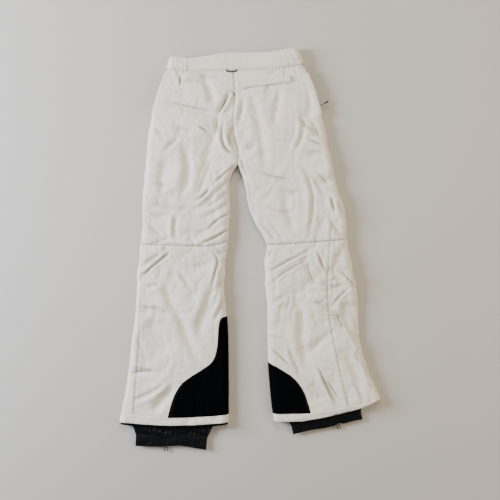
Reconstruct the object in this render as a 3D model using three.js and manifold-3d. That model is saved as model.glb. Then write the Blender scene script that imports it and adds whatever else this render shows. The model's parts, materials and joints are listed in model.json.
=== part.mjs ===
// Insulated ski pants lying flat, front side down, waist towards +Y, millimetres, +Z up.
// The garment is a stack of layers: shell, fill and lining on the front, the space for the legs, then
// lining, fill and shell on the back. The knees fold, the gaiter cuffs slide inside the hems, and the
// zips, pulls, pocket flap, hanger loop, waist tab and lace hooks move.
// Outlines are written as [x, drop]: drop is the distance below the top of the back waistband.
import * as THREE from "three";
import { mergeVertices } from "three/addons/utils/BufferGeometryUtils.js";
import Module from "manifold-3d";

const wasm = await Module();
wasm.setup();

// ---- driving dimensions, mm ----
const SHELL = 0.8; // shell fabric with its membrane
const FILL = 4.0; // insulation
const LINING = 0.6; // taffeta lining
const LEG_SPACE = 18.0; // height of the space for the legs while the garment lies flat
const GAP = 0.3; // between neighbouring pieces
const WAISTBAND = 50; // waistband height
const CROTCH = 314; // drop of the crotch point
const PATTERN = { width: 740, leg: 730 }; // the width and inseam that the outlines are drawn for
const SIZE = { width: 740, leg: 730 }; // the width and inseam that this pair is graded to
const HEM_BAND = 22; // height of the stitched hem band
const HEM_FACING = 45; // height of the dark facing inside the hem
const LINING_SHORT = 55; // how far the lining and fill stop above the hem
const CASING = 1.0; // waistband fabric
const ELASTIC_THICK = 1.2;
const ELASTIC_HEIGHT = 38;
const TONGUE = { height: 34, thick: 1.0 }; // the underlap behind the waist tab
const SNAP = { radius: 6, stud: 1.15, socket: 1.85 };
const FLY = { below: 11, length: 150, slot: 30 }; // below the waist seam; slot through fill and lining
const UNDERLAP = { width: 46, thick: 0.8, above: 4, below: 12 };
const TAPE_WIDTH = 22; // zip tape
const TAPE = 0.6;
const TEETH_WIDTH = 5;
const TEETH = 1.4;
const SLIT = 1.4; // clear slit between the two rows of teeth
const STOP = 4; // length of a zip's end stop
const SLIDER = { width: 8, length: 11, plate: 1.0, post: 0.8, postLength: 3.3 };
const EAR = { width: 1.0, length: 2.4, height: 1.4, gap: 3.0 }; // the two ears that hold a pull's bar
const PULL = { bar: 1.0, thick: 1.0, width: 6, length: 26, neck: 3.5 };
const CORD_PULL = { bar: 1.0, thick: 2.0, width: 2.6, length: 33, neck: SLIDER.length / 2 + 1 };
const POCKET_ZIP = 112; // length of a hand pocket's zip
const POCKET_BAG = { width: 130, height: 200, thick: 1.6, edge: 15, below: 26, corner: 30 };
const FLAP = { length: 138, height: 18, thick: 1.0, root: 3, lean: 8, below: 26 };
const PATCH = { length: 30, height: 9, thick: 0.7 }; // hook and loop patches under the flap
const BACK_BAG = { length: 128, height: 150, thick: 1.8, above: 4 };
const BACK_SLIT = { length: 108, width: 2, below: 7 }; // the back pocket's mouth, under its flap
const LOOP = { x: -18, width: 32, height: 9, strap: 4, thick: 1.2, below: 2 };
const SKIRT = 0.6; // gaiter fabric
const CUFF_WIDTH = 200; // flat width of the gaiter's gathered lower edge
const CUFF_BAND = 30; // height of the gathered band
const CUFF_SLEEVE = 50; // the plain part that runs up inside the skirt
const CUFF_WALL = 1.4;
const SKIRT_LOW = 6; // the skirt's lower edge, above the hem
const SKIRT_TOP = 195; // how far above the hem the gaiter is sewn in
const HOOK = { width: 10, length: 14, thick: 1.6, wire: 2.4, mouth: 2.2 };
const SEAM_DROP = 51; // drop of the waist seam beside the waist tab
const ORIGIN_DROP = SEAM_DROP - WAISTBAND / 2 + 3; // the frame's origin, on the waist tab

// ---- heights, from the floor up ----
const Z_FILL = SHELL + GAP;
const Z_LINING = Z_FILL + FILL + GAP;
const Z_SPACE = Z_LINING + LINING;
const Z_TOP = 2 * Z_SPACE + LEG_SPACE;
const Z_MID = Z_TOP / 2;

// ---- zips ----
const BAR_HEIGHT = TEETH / 2 + GAP + SLIDER.plate + GAP + PULL.bar / 2; // above the tape's middle
const SLIDER_END = STOP + SLIDER.length / 2 + GAP; // from a zip's end to its slider's middle
const FLY_ZIP_Z = GAP + PULL.bar / 2 + BAR_HEIGHT; // the fly zip's pull just clears the floor

// ---- outlines, [x, drop] ----
// A point of the pattern, graded to this pair's width and leg length.
const graded = ([x, drop]) => [
  (x * SIZE.width) / PATTERN.width,
  drop < CROTCH ? drop : CROTCH + ((drop - CROTCH) * SIZE.leg) / PATTERN.leg,
];
const gradedX = (x) => graded([x, 0])[0];
const gradedDrop = (drop) => graded([0, drop])[1];

const KNEE = gradedDrop(627); // the line where a leg folds
const ELASTIC_LEFT = gradedX(-143); // where the gathered sides of the waistband begin
const ELASTIC_RIGHT = gradedX(95);
const TAB_LEFT = gradedX(-30); // the waist tab's free end
const TAB_HINGE = gradedX(25); // the line where the waist tab folds
const TONGUE_LEFT = gradedX(-75); // the underlap's sewn end and its free end
const TONGUE_RIGHT = gradedX(10);
const SNAP_X = gradedX(-12);
const FLAP_X = gradedX(75);
const FLY_TOP = SEAM_DROP + FLY.below; // drop of the fly zip's top end

const LEFT_OUTER = [
  [-190, 16], [-199, 48], [-221, 101], [-244, 185], [-256, 260], [-262, 345], [-269, 430],
  [-270, 500], [-278, 575], [-286, 650], [-288, 750], [-301, 823], [-307, 900], [-323, 985], [-333, 1036],
];
const LEFT_INNER = [
  [-0.2, CROTCH], [-20, 345], [-26, 385], [-22, 440], [-27, 530], [-36, 610], [-36, 700],
  [-29, 770], [-27, 900], [-27, 1036],
];
const RIGHT_OUTER = [
  [167, -13], [184, 34], [212, 92], [230, 155], [246, 218], [254, 270], [283, 389], [300, 440],
  [308, 530], [326, 627], [339, 720], [344, 820], [366, 885], [386, 935], [407, 988],
];
const RIGHT_INNER = [
  [0.2, CROTCH], [18, 370], [32, 440], [56, 490], [80, 540], [75, 590], [77, 640], [82, 720],
  [84, 850], [92, 960], [101, 1034],
];
// The waistband: x on its top edge, x on its seam, the seam's drop, and how far it is pulled down.
const WAIST = [
  [-190, -199, 48, 18], [-140, -134, 55, 15], [-90, -64, 54, 10], [-30, 0, 51, 4], [85, 90, 49, 4],
  [135, 146, 43, 2], [167, 184, 34, 3],
];
const WAIST_TOP = WAIST.map(([x, , drop, pulled]) => graded([x, drop - WAISTBAND + pulled]));
const WAIST_SEAM = WAIST.map(([, x, drop]) => graded([x, drop]));
const LEFT_HEM = [[-333, 1036], [-265, 1041], [-190, 1044], [-110, 1042], [-27, 1036]];
const RIGHT_HEM = [[101, 1034], [175, 1033], [240, 1027], [345, 1008], [407, 988]];
const LEFT_KICK = [
  [-10, 741], [-41, 741], [-53, 762], [-58, 825], [-68, 860], [-88, 881], [-146, 918],
  [-168, 943], [-184, 978], [-198, 1030],
];
const RIGHT_KICK = [[60, 855], [84, 868], [141, 901], [166, 923], [184, 951], [196, 984], [210, 1030]];

// facing is how far the dark facing shows below the hem; kickIn is a line inside the leg's inner edge,
// which closes the kick patch's outline.
const leg = (side, outer, inner, hem, kick, facing, kickIn) => ({
  outer: outer.map(graded),
  inner: inner.map(graded),
  hem: hem.map(graded),
  kick: kick.map(graded),
  kickIn: gradedX(kickIn),
  side,
  facing,
});
const LEGS = {
  left: leg(-1, LEFT_OUTER, LEFT_INNER, LEFT_HEM, LEFT_KICK, 8, 30),
  right: leg(1, RIGHT_OUTER, RIGHT_INNER, RIGHT_HEM, RIGHT_KICK, 0, -30),
};
// A gaiter's place: the middle of its cuff's lower edge, how far its leg leans from straight down, the
// hem's height above that edge, and its hook's place. The cuff is narrower than the leg by hemEase on
// the nearer side at the hem, and the skirt by topEase where it is sewn in.
const GAITERS = {
  left: { x: gradedX(-189), drop: gradedDrop(1108), lean: -3, hemAt: 66, hemEase: 30, topEase: 1, hookX: -14 },
  right: { x: gradedX(253), drop: gradedDrop(1052), lean: 12, hemAt: 30, hemEase: 42, topEase: 8, hookX: 30 },
};
// A hand pocket's zip runs along the side seam from its lower end, x and drop, towards the waist. The
// slider rests open at the lower end or closed at the upper one, and its cord pull stands out or hangs.
const POCKETS = {
  left: { x: gradedX(-237), drop: 168, lean: 18.6, side: -1, closed: true, pullOut: 6 },
  right: { x: gradedX(229.5), drop: 160, lean: 18.6, side: 1, closed: false, pullOut: 115 },
};

// ---- materials ----
const paint = (colour, roughness, metalness = 0) =>
  new THREE.MeshStandardMaterial({ color: colour, roughness, metalness });
const SHELL_CLOTH = paint(0xd6d2c6, 0.8);
const LINING_CLOTH = paint(0xb9b7b2, 0.7);
const FILL_FIBRE = paint(0xf1f0ec, 0.95);
const KICK_CLOTH = paint(0x0b0c0f, 0.75);
const GAITER_CLOTH = paint(0x14171c, 0.6);
const ELASTIC = paint(0xe4e2dc, 0.9);
const ZIP_TAPE = paint(0xc9c5ba, 0.8);
const METAL = paint(0x3b3c3f, 0.35, 0.9);
const CORD = paint(0x101010, 0.7);
const HOOK_LOOP = paint(0xbdb9ae, 0.95);

// ---- solids ----
const y = (drop) => ORIGIN_DROP - drop;

// A closed three.js geometry as a manifold solid.
function solid(geometry) {
  const g = geometry.clone();
  g.deleteAttribute("normal");
  g.deleteAttribute("uv");
  const merged = mergeVertices(g, 1e-4);
  return new wasm.Manifold(
    new wasm.Mesh({
      numProp: 3,
      vertProperties: merged.attributes.position.array,
      triVerts: new Uint32Array(merged.index.array),
    }),
  );
}

// Points [x, drop] as a prism between two heights.
function prism(points, low, high) {
  const shape = new THREE.Shape(points.map(([x, drop]) => new THREE.Vector2(x, y(drop))));
  const geometry = new THREE.ExtrudeGeometry(shape, { depth: high - low, bevelEnabled: false });
  return solid(geometry.translate(0, 0, low));
}

function box(x0, x1, drop0, drop1, low, high) {
  return prism([[x0, drop0], [x1, drop0], [x1, drop1], [x0, drop1]], low, high);
}

// A block in a piece's own axes: width along x, length along y, height along z.
function block(width, length, height, cx = 0, cy = 0, cz = 0) {
  return solid(new THREE.BoxGeometry(width, length, height).translate(cx, cy, cz));
}

const join = (...solids) => solids.reduce((a, b) => a.add(b));

const group = new THREE.Group();

// Puts a solid into the group as a named mesh, in a nested group where it is turned.
function piece(name, made, material, parent = group) {
  const m = made.getMesh();
  const positions = new Float32Array(m.numVert * 3);
  for (let i = 0; i < m.numVert; i++) {
    positions.set(m.vertProperties.subarray(i * m.numProp, i * m.numProp + 3), i * 3);
  }
  const geometry = new THREE.BufferGeometry();
  geometry.setAttribute("position", new THREE.BufferAttribute(positions, 3));
  geometry.setIndex(new THREE.BufferAttribute(new Uint32Array(m.triVerts), 1));
  geometry.computeVertexNormals();
  const mesh = new THREE.Mesh(geometry, material);
  mesh.name = name;
  parent.add(mesh);
  return mesh;
}

// ---- outline helpers ----
// A smooth line through the points, sampled finely enough for cloth.
function smooth(points, steps = 3) {
  const curve = new THREE.SplineCurve(points.map(([x, drop]) => new THREE.Vector2(x, drop)));
  return curve.getPoints((points.length - 1) * steps).map((p) => [p.x, p.y]);
}

// x of a line, whose points go down the garment, at a drop.
function xAt(line, drop) {
  const i = Math.max(1, line.findIndex((p) => p[1] >= drop));
  const [[x0, d0], [x1, d1]] = [line[i - 1], line[i]];
  return x0 + ((x1 - x0) * (drop - d0)) / (d1 - d0);
}

// The part of a line between two drops, with its ends added.
function stretch(line, from, to) {
  const inside = line.filter((p) => p[1] > from + 0.5 && p[1] < to - 0.5);
  return [[xAt(line, from), from], ...inside, [xAt(line, to), to]];
}

const shift = (line, dx, drop = 0) => line.map(([x, d]) => [x + dx, d + drop]);

// A line with its two ends run on, each in its own direction, by a drop.
function lengthen(line, before, after) {
  const run = ([x0, d0], [x1, d1], by) => [
    x1 + ((x1 - x0) * by) / Math.abs(d1 - d0),
    d1 + Math.sign(d1 - d0) * by,
  ];
  const first = before ? [run(line[1], line[0], before)] : [];
  const last = after ? [run(line.at(-2), line.at(-1), after)] : [];
  return [...first, ...line, ...last];
}

// A lower leg's outline from the fold to the hem, narrower by an inset each side.
// With past, it runs on beyond both ends, for cutting the inside out of a sleeve.
function lowerOutline(leg, from, inset = 0, past = 0) {
  const sides = [leg.outer, leg.inner].map((points, i) => {
    const side = stretch(smooth(points), from, points.at(-1)[1]);
    return lengthen(shift(side, (i ? 1 : -1) * leg.side * inset), past, past);
  });
  const hem = leg.side < 0 ? smooth(leg.hem) : smooth(leg.hem).reverse();
  return [...sides[0], ...(past ? [] : hem.slice(1, -1)), ...sides[1].reverse()];
}

// The seat and thigh of one side, from the waist seam to the fold. With past, it runs on beyond the
// waist and the fold, and across the centre, where the seat is open to the other side.
function upperOutline(leg, inset, past) {
  const end = KNEE - GAP / 2;
  const seam = shift(smooth(WAIST_SEAM), 0, GAP);
  const half = seam.filter((p) => p[0] * leg.side > -0.01);
  if (leg.side > 0) half.reverse();
  const centre = leg.side * (past ? -8 : 0.2);
  const away = lengthen(shift(stretch(smooth(leg.outer), half[0][1], end), -leg.side * inset), past, past);
  const near = lengthen(shift(stretch(smooth(leg.inner), CROTCH, end), leg.side * inset), 0, past);
  const top = half.at(-1)[1];
  const waist = past ? [[centre, top - past]] : [[centre, top], ...half.slice(1, -1).reverse()];
  const forkDrop = CROTCH + (past ? inset : 0);
  const fork = inset ? [[near[0][0], forkDrop], [centre, forkDrop]] : [[centre, forkDrop]];
  return [...away, ...near.slice(1).reverse(), ...fork, ...waist];
}

// ---- cutting shapes ----
const FAR = 2000; // beyond the garment on every side
const PAST = 20; // how far an inner outline runs on beyond an open end

const under = box(-FAR, FAR, -FAR, FAR, -FAR, Z_MID - GAP / 2);
const over = box(-FAR, FAR, -FAR, FAR, Z_MID + GAP / 2, FAR);

// A wall of one thickness around an outline, open where the inner outline runs past it.
function wall(outer, inner, depth, thick) {
  return prism(outer, depth, Z_TOP - depth).subtract(prism(inner, depth + thick, Z_TOP - depth - thick));
}

// ---- seat and thighs ----
const flyCut = box(-FLY.slot / 2, FLY.slot / 2, 0, FLY_TOP + FLY.length + STOP, -1, Z_SPACE + GAP);

// The front shell's folded edge beside the fly, which carries the zip tape.
function placket(side) {
  const [near, away] = [side * TEETH_WIDTH, side * (FLY.slot / 2 - GAP)];
  return box(near, away, FLY_TOP, FLY_TOP + FLY.length, 0, FLY_ZIP_Z - TAPE / 2 - GAP);
}

function upper(name) {
  const half = LEGS[name];
  const zipCut = pocketCut(POCKETS[name]);
  const bag = handBagOutline(half);
  const bagLow = Z_LINING - GAP - POCKET_BAG.thick;
  const bagCut = prism(grow(bag, GAP), bagLow - GAP, Z_LINING);
  const zipRoom = box(-TEETH_WIDTH, TEETH_WIDTH, 0, FLY_TOP + FLY.length, -1, Z_LINING);

  const shell = wall(upperOutline(half, 0, 0), upperOutline(half, SHELL, PAST), 0, SHELL).subtract(zipCut);
  const fill = (low) => prism(upperOutline(half, SHELL + GAP, 0), low, low + FILL).subtract(zipCut);
  const backCut = (made, cut) => (name === "right" ? made.subtract(cut) : made);
  piece("back_shell_" + name, backCut(shell.intersect(over), backPocketSlit()), SHELL_CLOTH);
  const front = shell.intersect(under).subtract(zipRoom);
  piece("front_shell_" + name, front.add(placket(half.side)), SHELL_CLOTH);
  piece("back_fill_" + name, backCut(fill(Z_TOP - Z_FILL - FILL), backPocketRoom()), FILL_FIBRE);
  piece("front_fill_" + name, fill(Z_FILL).subtract(flyCut).subtract(bagCut), FILL_FIBRE);

  const liningOut = upperOutline(half, SHELL + GAP, 0);
  const liningIn = upperOutline(half, SHELL + GAP + LINING, PAST);
  const lining = wall(liningOut, liningIn, Z_LINING, LINING);
  piece("lining_" + name, lining.subtract(flyCut).subtract(zipCut), LINING_CLOTH);
  piece("hand_pocket_bag_" + name, prism(bag, bagLow, bagLow + POCKET_BAG.thick), LINING_CLOTH);
}

// ---- hand pockets ----
// The bag lies inside the front, beside the outer edge, with one lower corner cut off.
function handBagOutline(half) {
  const outer = smooth(half.outer);
  const top = SEAM_DROP + POCKET_BAG.below;
  const low = top + POCKET_BAG.height;
  const away = shift(stretch(outer, top, low), -half.side * POCKET_BAG.edge);
  const near = away[0][0] - half.side * POCKET_BAG.width;
  return [...away, [near + half.side * POCKET_BAG.corner, low], [near, low - POCKET_BAG.corner], [near, top]];
}

// An outline moved away from its middle, along x and along the drop.
function grow(points, by) {
  const mean = (i) => points.reduce((sum, p) => sum + p[i], 0) / points.length;
  const [cx, cd] = [mean(0), mean(1)];
  return points.map(([x, d]) => [x + Math.sign(x - cx) * by, d + Math.sign(d - cd) * by]);
}

// A frame whose y axis runs up a hand pocket's zip and whose z axis points out of the garment's side.
function pocketFrame(pocket) {
  const frame = new THREE.Group();
  const lean = THREE.MathUtils.degToRad(pocket.lean);
  const up = new THREE.Vector3(-pocket.side * Math.sin(lean), Math.cos(lean), 0);
  const out = new THREE.Vector3(pocket.side * Math.cos(lean), Math.sin(lean), 0);
  const across = new THREE.Vector3().crossVectors(up, out);
  frame.matrixAutoUpdate = false;
  frame.matrix.makeBasis(across, up, out).setPosition(pocket.x, y(pocket.drop), Z_MID);
  return frame;
}

// Room for a hand pocket's zip, through every layer outside the space for the legs.
function pocketCut(pocket) {
  const deep = TEETH;
  const high = 40;
  const room = block(TAPE_WIDTH + 2 * GAP, POCKET_ZIP + 2 * GAP, high, 0, POCKET_ZIP / 2, high / 2 - deep);
  return room.transform(pocketFrame(pocket).matrix.toArray());
}

// A zip lying along y: two tapes with teeth, joined at both ends by the stops, with a slit between.
function zip(length) {
  const tape = block(TAPE_WIDTH, length, TAPE, 0, length / 2, 0);
  const teeth = block(TEETH_WIDTH, length, TEETH, 0, length / 2, 0);
  const slit = block(SLIT, length - 2 * STOP, 2 * TEETH, 0, length / 2, 0);
  return tape.add(teeth).subtract(slit);
}

// A slider around the teeth, with its post in the slit and two ears for the pull, facing +z.
function slider() {
  const high = TEETH / 2 + GAP + SLIDER.plate / 2;
  const plates = [high, -high].map((z) => block(SLIDER.width, SLIDER.length, SLIDER.plate, 0, 0, z));
  const post = block(SLIDER.post, SLIDER.postLength, 2 * high, 0, SLIDER.postLength, 0);
  const earX = EAR.gap / 2 + EAR.width / 2;
  const earZ = high + SLIDER.plate / 2 + PULL.bar / 2;
  const ears = [earX, -earX].map((x) => block(EAR.width, EAR.length, EAR.height, x, 0, earZ));
  return join(...plates, post, ...ears);
}

// A pull: a bar between the slider's ears, and a round-ended tab that hangs from it along -y.
function pull(size) {
  const barLength = EAR.gap - 2 * GAP;
  const bar = solid(new THREE.CylinderGeometry(size.bar / 2, size.bar / 2, barLength, 12).rotateZ(Math.PI / 2));
  const neck = block(barLength, size.neck, size.bar * 0.8, 0, -size.neck / 2, 0);
  const half = size.width / 2;
  const top = 0.5 - size.neck;
  const outline = new THREE.Shape();
  outline.moveTo(-half * 0.7, top);
  outline.lineTo(half * 0.7, top);
  outline.lineTo(half, -size.length + half);
  outline.absarc(0, -size.length + half, half, 0, -Math.PI, true);
  const tab = new THREE.ExtrudeGeometry(outline, { depth: size.thick, bevelEnabled: false, curveSegments: 8 });
  return join(bar, neck, solid(tab.translate(0, 0, -size.thick / 2)));
}

function handPocket(name) {
  const pocket = POCKETS[name];
  const frame = pocketFrame(pocket);
  group.add(frame);
  piece("hand_pocket_zip_" + name, zip(POCKET_ZIP), ZIP_TAPE, frame);
  const seat = new THREE.Group();
  seat.position.set(0, pocket.closed ? POCKET_ZIP - SLIDER_END : SLIDER_END, 0);
  frame.add(seat);
  piece("hand_pocket_slider_" + name, slider(), METAL, seat);
  const arm = new THREE.Group();
  arm.position.set(0, 0, BAR_HEIGHT);
  arm.rotation.x = -THREE.MathUtils.degToRad(pocket.pullOut);
  seat.add(arm);
  piece("hand_pocket_pull_" + name, pull(CORD_PULL), CORD, arm);
}

// ---- fly ----
// The zip faces the floor, with its slider closed at the waist and its pull hanging along it.
function fly() {
  const frame = new THREE.Group();
  frame.position.set(0, y(FLY_TOP + FLY.length), FLY_ZIP_Z);
  group.add(frame);
  piece("fly_zip_chain", zip(FLY.length), ZIP_TAPE, frame);
  const seat = new THREE.Group();
  seat.position.set(0, FLY.length - SLIDER_END, 0);
  seat.rotation.y = Math.PI;
  frame.add(seat);
  piece("fly_slider", slider(), METAL, seat);
  const arm = new THREE.Group();
  arm.position.set(0, 0, BAR_HEIGHT);
  seat.add(arm);
  piece("fly_pull", pull(PULL), METAL, arm);
  const half = UNDERLAP.width / 2;
  const low = Z_SPACE + GAP;
  const end = FLY_TOP + FLY.length + UNDERLAP.below;
  piece("fly_underlap", box(-half, half, FLY_TOP - UNDERLAP.above, end, low, low + UNDERLAP.thick), LINING_CLOTH);
}

// ---- waistband ----
// The waistband's outline, its upper and lower edges cut back by a trim.
function waistOutline(inset, trim) {
  const top = shift(smooth(WAIST_TOP), 0, trim);
  const seam = shift(smooth(WAIST_SEAM), 0, -GAP / 2 - trim).reverse();
  const ends = [top[0], top.at(-1), seam[0], seam.at(-1)];
  return [...top, ...seam].map((p) => (ends.includes(p) ? [p[0] - Math.sign(p[0]) * inset, p[1]] : p));
}

// A layer of the waistband, one wall thick, open at the waist and to the seat.
function waistLayer(depth, thick) {
  const inset = depth + thick;
  const sides = [0, -1].map((i) => shift([WAIST_TOP.at(i), WAIST_SEAM.at(i)], i ? -inset : inset));
  const inside = [...lengthen(sides[0], PAST, PAST), ...lengthen(sides[1], PAST, PAST).reverse()];
  return wall(waistOutline(depth, 0), inside, depth, thick);
}

const between = (x0, x1) => box(x0, x1, -FAR, FAR, -FAR, FAR);

function disc(x, drop, radius, low, high) {
  const made = new THREE.CylinderGeometry(radius, radius, high - low, 24).rotateX(Math.PI / 2);
  return solid(made.translate(x, y(drop), (low + high) / 2));
}

function waistband() {
  const ring = waistLayer(0, CASING);
  const g = GAP / 2;
  const middle = ring.intersect(between(ELASTIC_LEFT + g, ELASTIC_RIGHT - g));
  piece("waistband_back", middle.intersect(over), SHELL_CLOTH);
  piece("waistband_side_left", ring.intersect(between(-FAR, ELASTIC_LEFT - g)), SHELL_CLOTH);
  piece("waistband_side_right", ring.intersect(between(ELASTIC_RIGHT + g, FAR)), SHELL_CLOTH);

  const elasticEnd = 4; // the elastic stops short of the casing's end
  const spare = (WAISTBAND - ELASTIC_HEIGHT) / 2;
  const strip = waistLayer(CASING + GAP, ELASTIC_THICK).intersect(prism(waistOutline(0, spare), 0, Z_TOP));
  piece("waist_elastic_left", strip.intersect(between(-FAR, ELASTIC_LEFT - elasticEnd)), ELASTIC);
  piece("waist_elastic_right", strip.intersect(between(ELASTIC_RIGHT + elasticEnd, FAR)), ELASTIC);

  // The front closes with a tab that folds back at its hinge line, over a tongue sewn to the left front.
  const front = middle.intersect(under);
  const tongueLow = CASING + GAP;
  const tongueHigh = tongueLow + TONGUE.thick;
  const tongueFrom = ORIGIN_DROP - TONGUE.height / 2;
  const tongueTo = ORIGIN_DROP + TONGUE.height / 2;
  const freeFrom = TAB_LEFT - GAP;
  const sewn = box(TONGUE_LEFT, freeFrom, tongueFrom, tongueTo, CASING / 2, tongueHigh);
  const free = box(freeFrom - 1, TONGUE_RIGHT, tongueFrom, tongueTo, tongueLow, tongueHigh);
  const snapHole = disc(SNAP_X, ORIGIN_DROP, SNAP.radius + GAP, -1, tongueHigh + 1);
  const leftFront = join(front.intersect(between(-FAR, freeFrom)), sewn, free);
  piece("waistband_front_left", leftFront.subtract(snapHole), SHELL_CLOTH);
  piece("waistband_front_right", front.intersect(between(TAB_HINGE + g, FAR)), SHELL_CLOTH);
  piece("waist_tab", front.intersect(between(TAB_LEFT, TAB_HINGE - g)).subtract(snapHole), SHELL_CLOTH);
  piece("snap_stud", disc(SNAP_X, ORIGIN_DROP, SNAP.radius, 0, SNAP.stud), METAL);
  const socketLow = SNAP.stud + GAP;
  piece("snap_socket", disc(SNAP_X, ORIGIN_DROP, SNAP.radius, socketLow, socketLow + SNAP.socket), METAL);
}

// ---- back pocket, on the right ----
// A frame on the back shell, at the middle of the flap's sewn edge.
function flapFrame() {
  const frame = new THREE.Group();
  frame.position.set(FLAP_X, y(SEAM_DROP + FLAP.below), Z_TOP + GAP);
  frame.rotation.z = THREE.MathUtils.degToRad(FLAP.lean);
  frame.updateMatrix();
  return frame;
}

const BAG_TOP = -GAP - SHELL - GAP; // the back pocket bag's upper face, below the flap's frame

const backPocketSlit = () =>
  block(BACK_SLIT.length, BACK_SLIT.width, 4 * SHELL, 0, -BACK_SLIT.below, BAG_TOP / 2).transform(
    flapFrame().matrix.toArray(),
  );

// The bag's room in the fill, open towards the shell.
function backPocketRoom() {
  const deep = BACK_BAG.thick + 2 * GAP;
  const cy = BACK_BAG.above - BACK_BAG.height / 2;
  const room = block(BACK_BAG.length + 2 * GAP, BACK_BAG.height + 2 * GAP, deep, 0, cy, BAG_TOP + GAP - deep / 2);
  return room.transform(flapFrame().matrix.toArray());
}

function backPocketParts() {
  const frame = flapFrame();
  const centreGap = 3; // the bag stops short of the seat seam
  const cy = BACK_BAG.above - BACK_BAG.height / 2;
  const bag = block(BACK_BAG.length, BACK_BAG.height, BACK_BAG.thick, 0, cy, BAG_TOP - BACK_BAG.thick / 2);
  const mouth = block(BACK_SLIT.length, BACK_SLIT.width, BACK_BAG.thick, 0, -BACK_SLIT.below, BAG_TOP);
  const placed = bag.subtract(mouth).transform(frame.matrix.toArray());
  piece("back_pocket_bag", placed.intersect(between(centreGap, FAR)), LINING_CLOTH);

  group.add(frame);
  const plateLow = 2 * PATCH.thick + 2 * GAP;
  const high = plateLow + FLAP.thick;
  const root = block(FLAP.length, FLAP.root, high, 0, -FLAP.root / 2, high / 2);
  const plate = block(FLAP.length, FLAP.height, FLAP.thick, 0, -FLAP.height / 2, high - FLAP.thick / 2);
  piece("back_pocket_flap", root.add(plate), SHELL_CLOTH, frame);
  const patchY = 1 - FLAP.height + PATCH.height / 2;
  const patch = (z) => block(PATCH.length, PATCH.height, PATCH.thick, 0, patchY, z + PATCH.thick / 2);
  piece("back_pocket_loop_patch", patch(0), HOOK_LOOP, frame);
  piece("back_pocket_hook_patch", patch(PATCH.thick + GAP), HOOK_LOOP, frame);
}

// ---- hanger loop at the centre back ----
function lockerLoop() {
  const half = LOOP.width / 2;
  const top = SEAM_DROP + LOOP.below;
  const low = Z_TOP + GAP;
  const outer = box(LOOP.x - half, LOOP.x + half, top, top + LOOP.height, low, low + LOOP.thick);
  const holeEnd = top + LOOP.height - LOOP.strap;
  const inside = half - LOOP.strap;
  const hole = box(LOOP.x - inside, LOOP.x + inside, top - 1, holeEnd, 0, FAR);
  piece("locker_loop", outer.subtract(hole), CORD);
}

// ---- lower legs ----
// Everything from a line above the hem, parallel to it, and on downwards.
function belowHem(half, rise) {
  const hem = shift(smooth(half.hem), 0, -rise);
  const [first, last] = [hem[0], hem.at(-1)];
  return prism([[-FAR, first[1]], ...hem, [FAR, last[1]], [FAR, FAR], [-FAR, FAR]], -FAR, FAR);
}

// The kick patch's area, grown by a gap on its curved edge.
function kickArea(half, g) {
  const edge = half.kick.map(([x, d]) => [x + half.side * g, d - g]);
  return prism([...smooth(edge), [half.kickIn, FAR], [half.kickIn, edge[0][1]]], -FAR, FAR);
}

function shin(name) {
  const half = LEGS[name];
  const from = KNEE + GAP / 2;
  const layer = (depth, thick) =>
    [lowerOutline(half, from, depth), lowerOutline(half, from, depth + thick, PAST)];

  const shell = wall(...layer(0, SHELL), 0, SHELL);
  piece("hem_band_" + name, shell.intersect(belowHem(half, HEM_BAND)), SHELL_CLOTH);
  const above = shell.subtract(belowHem(half, HEM_BAND + GAP));
  piece("kick_patch_" + name, above.intersect(kickArea(half, 0)), KICK_CLOTH);
  const plain = above.subtract(kickArea(half, GAP));
  piece("shin_back_shell_" + name, plain.intersect(over), SHELL_CLOTH);
  piece("shin_front_shell_" + name, plain.intersect(under), SHELL_CLOTH);

  const shortened = (made) => made.subtract(belowHem(half, LINING_SHORT));
  const fill = (low) => shortened(prism(lowerOutline(half, from, SHELL + GAP), low, low + FILL));
  piece("shin_back_fill_" + name, fill(Z_TOP - Z_FILL - FILL), FILL_FIBRE);
  piece("shin_front_fill_" + name, fill(Z_FILL), FILL_FIBRE);
  const lining = wall(...layer(SHELL + GAP, LINING), Z_LINING, LINING);
  piece("shin_lining_" + name, shortened(lining), LINING_CLOTH);

  const facingOut = lowerOutline(half, from, SHELL + GAP, PAST);
  const facingIn = lowerOutline(half, from, SHELL + GAP + LINING, 2 * PAST);
  const facing = wall(facingOut, facingIn, Z_FILL, LINING).intersect(belowHem(half, HEM_FACING));
  piece("hem_facing_" + name, facing.subtract(belowHem(half, -half.facing)), GAITER_CLOTH);
}

// ---- gaiters ----
// A tube seen flat: half widths at heights up the leg, as a closed bar, thick along z.
function bar(profile, thick) {
  const right = profile.map(([half, high]) => new THREE.Vector2(half, high));
  const left = profile.map(([half, high]) => new THREE.Vector2(-half, high)).reverse();
  const geometry = new THREE.ExtrudeGeometry(new THREE.Shape([...right, ...left]), {
    depth: thick,
    bevelEnabled: false,
  });
  return solid(geometry.translate(0, 0, -thick / 2));
}

// The same profile as a tube with a wall, open at both ends.
function tube(profile, thick, walls) {
  const inner = profile.map(([half, high]) => [half - walls, high]);
  inner[0] = [inner[0][0], inner[0][1] - 1];
  inner.push([inner.at(-1)[0], inner.at(-1)[1] + 1]);
  return bar(profile, thick).subtract(bar(inner, thick - 2 * walls));
}

// How far the leg's nearer side is from a gaiter's middle line, at a height up the leg.
function legRoom(name, high) {
  const g = GAITERS[name];
  const lean = THREE.MathUtils.degToRad(g.lean);
  const [across, down] = [[Math.cos(lean), Math.sin(lean)], [Math.sin(lean), -Math.cos(lean)]];
  const sides = [LEGS[name].outer, LEGS[name].inner].map((line) => {
    const run = lengthen(smooth(line), 0, g.hemAt);
    const offsets = run.map(([x, drop]) => [x - g.x, g.drop - drop]);
    const local = offsets.map(([dx, dy]) => [dx * across[0] + dy * across[1], dx * down[0] + dy * down[1]]);
    return Math.abs(xAt(local, -high));
  });
  return Math.min(...sides) - SHELL - GAP - LINING;
}

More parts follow.
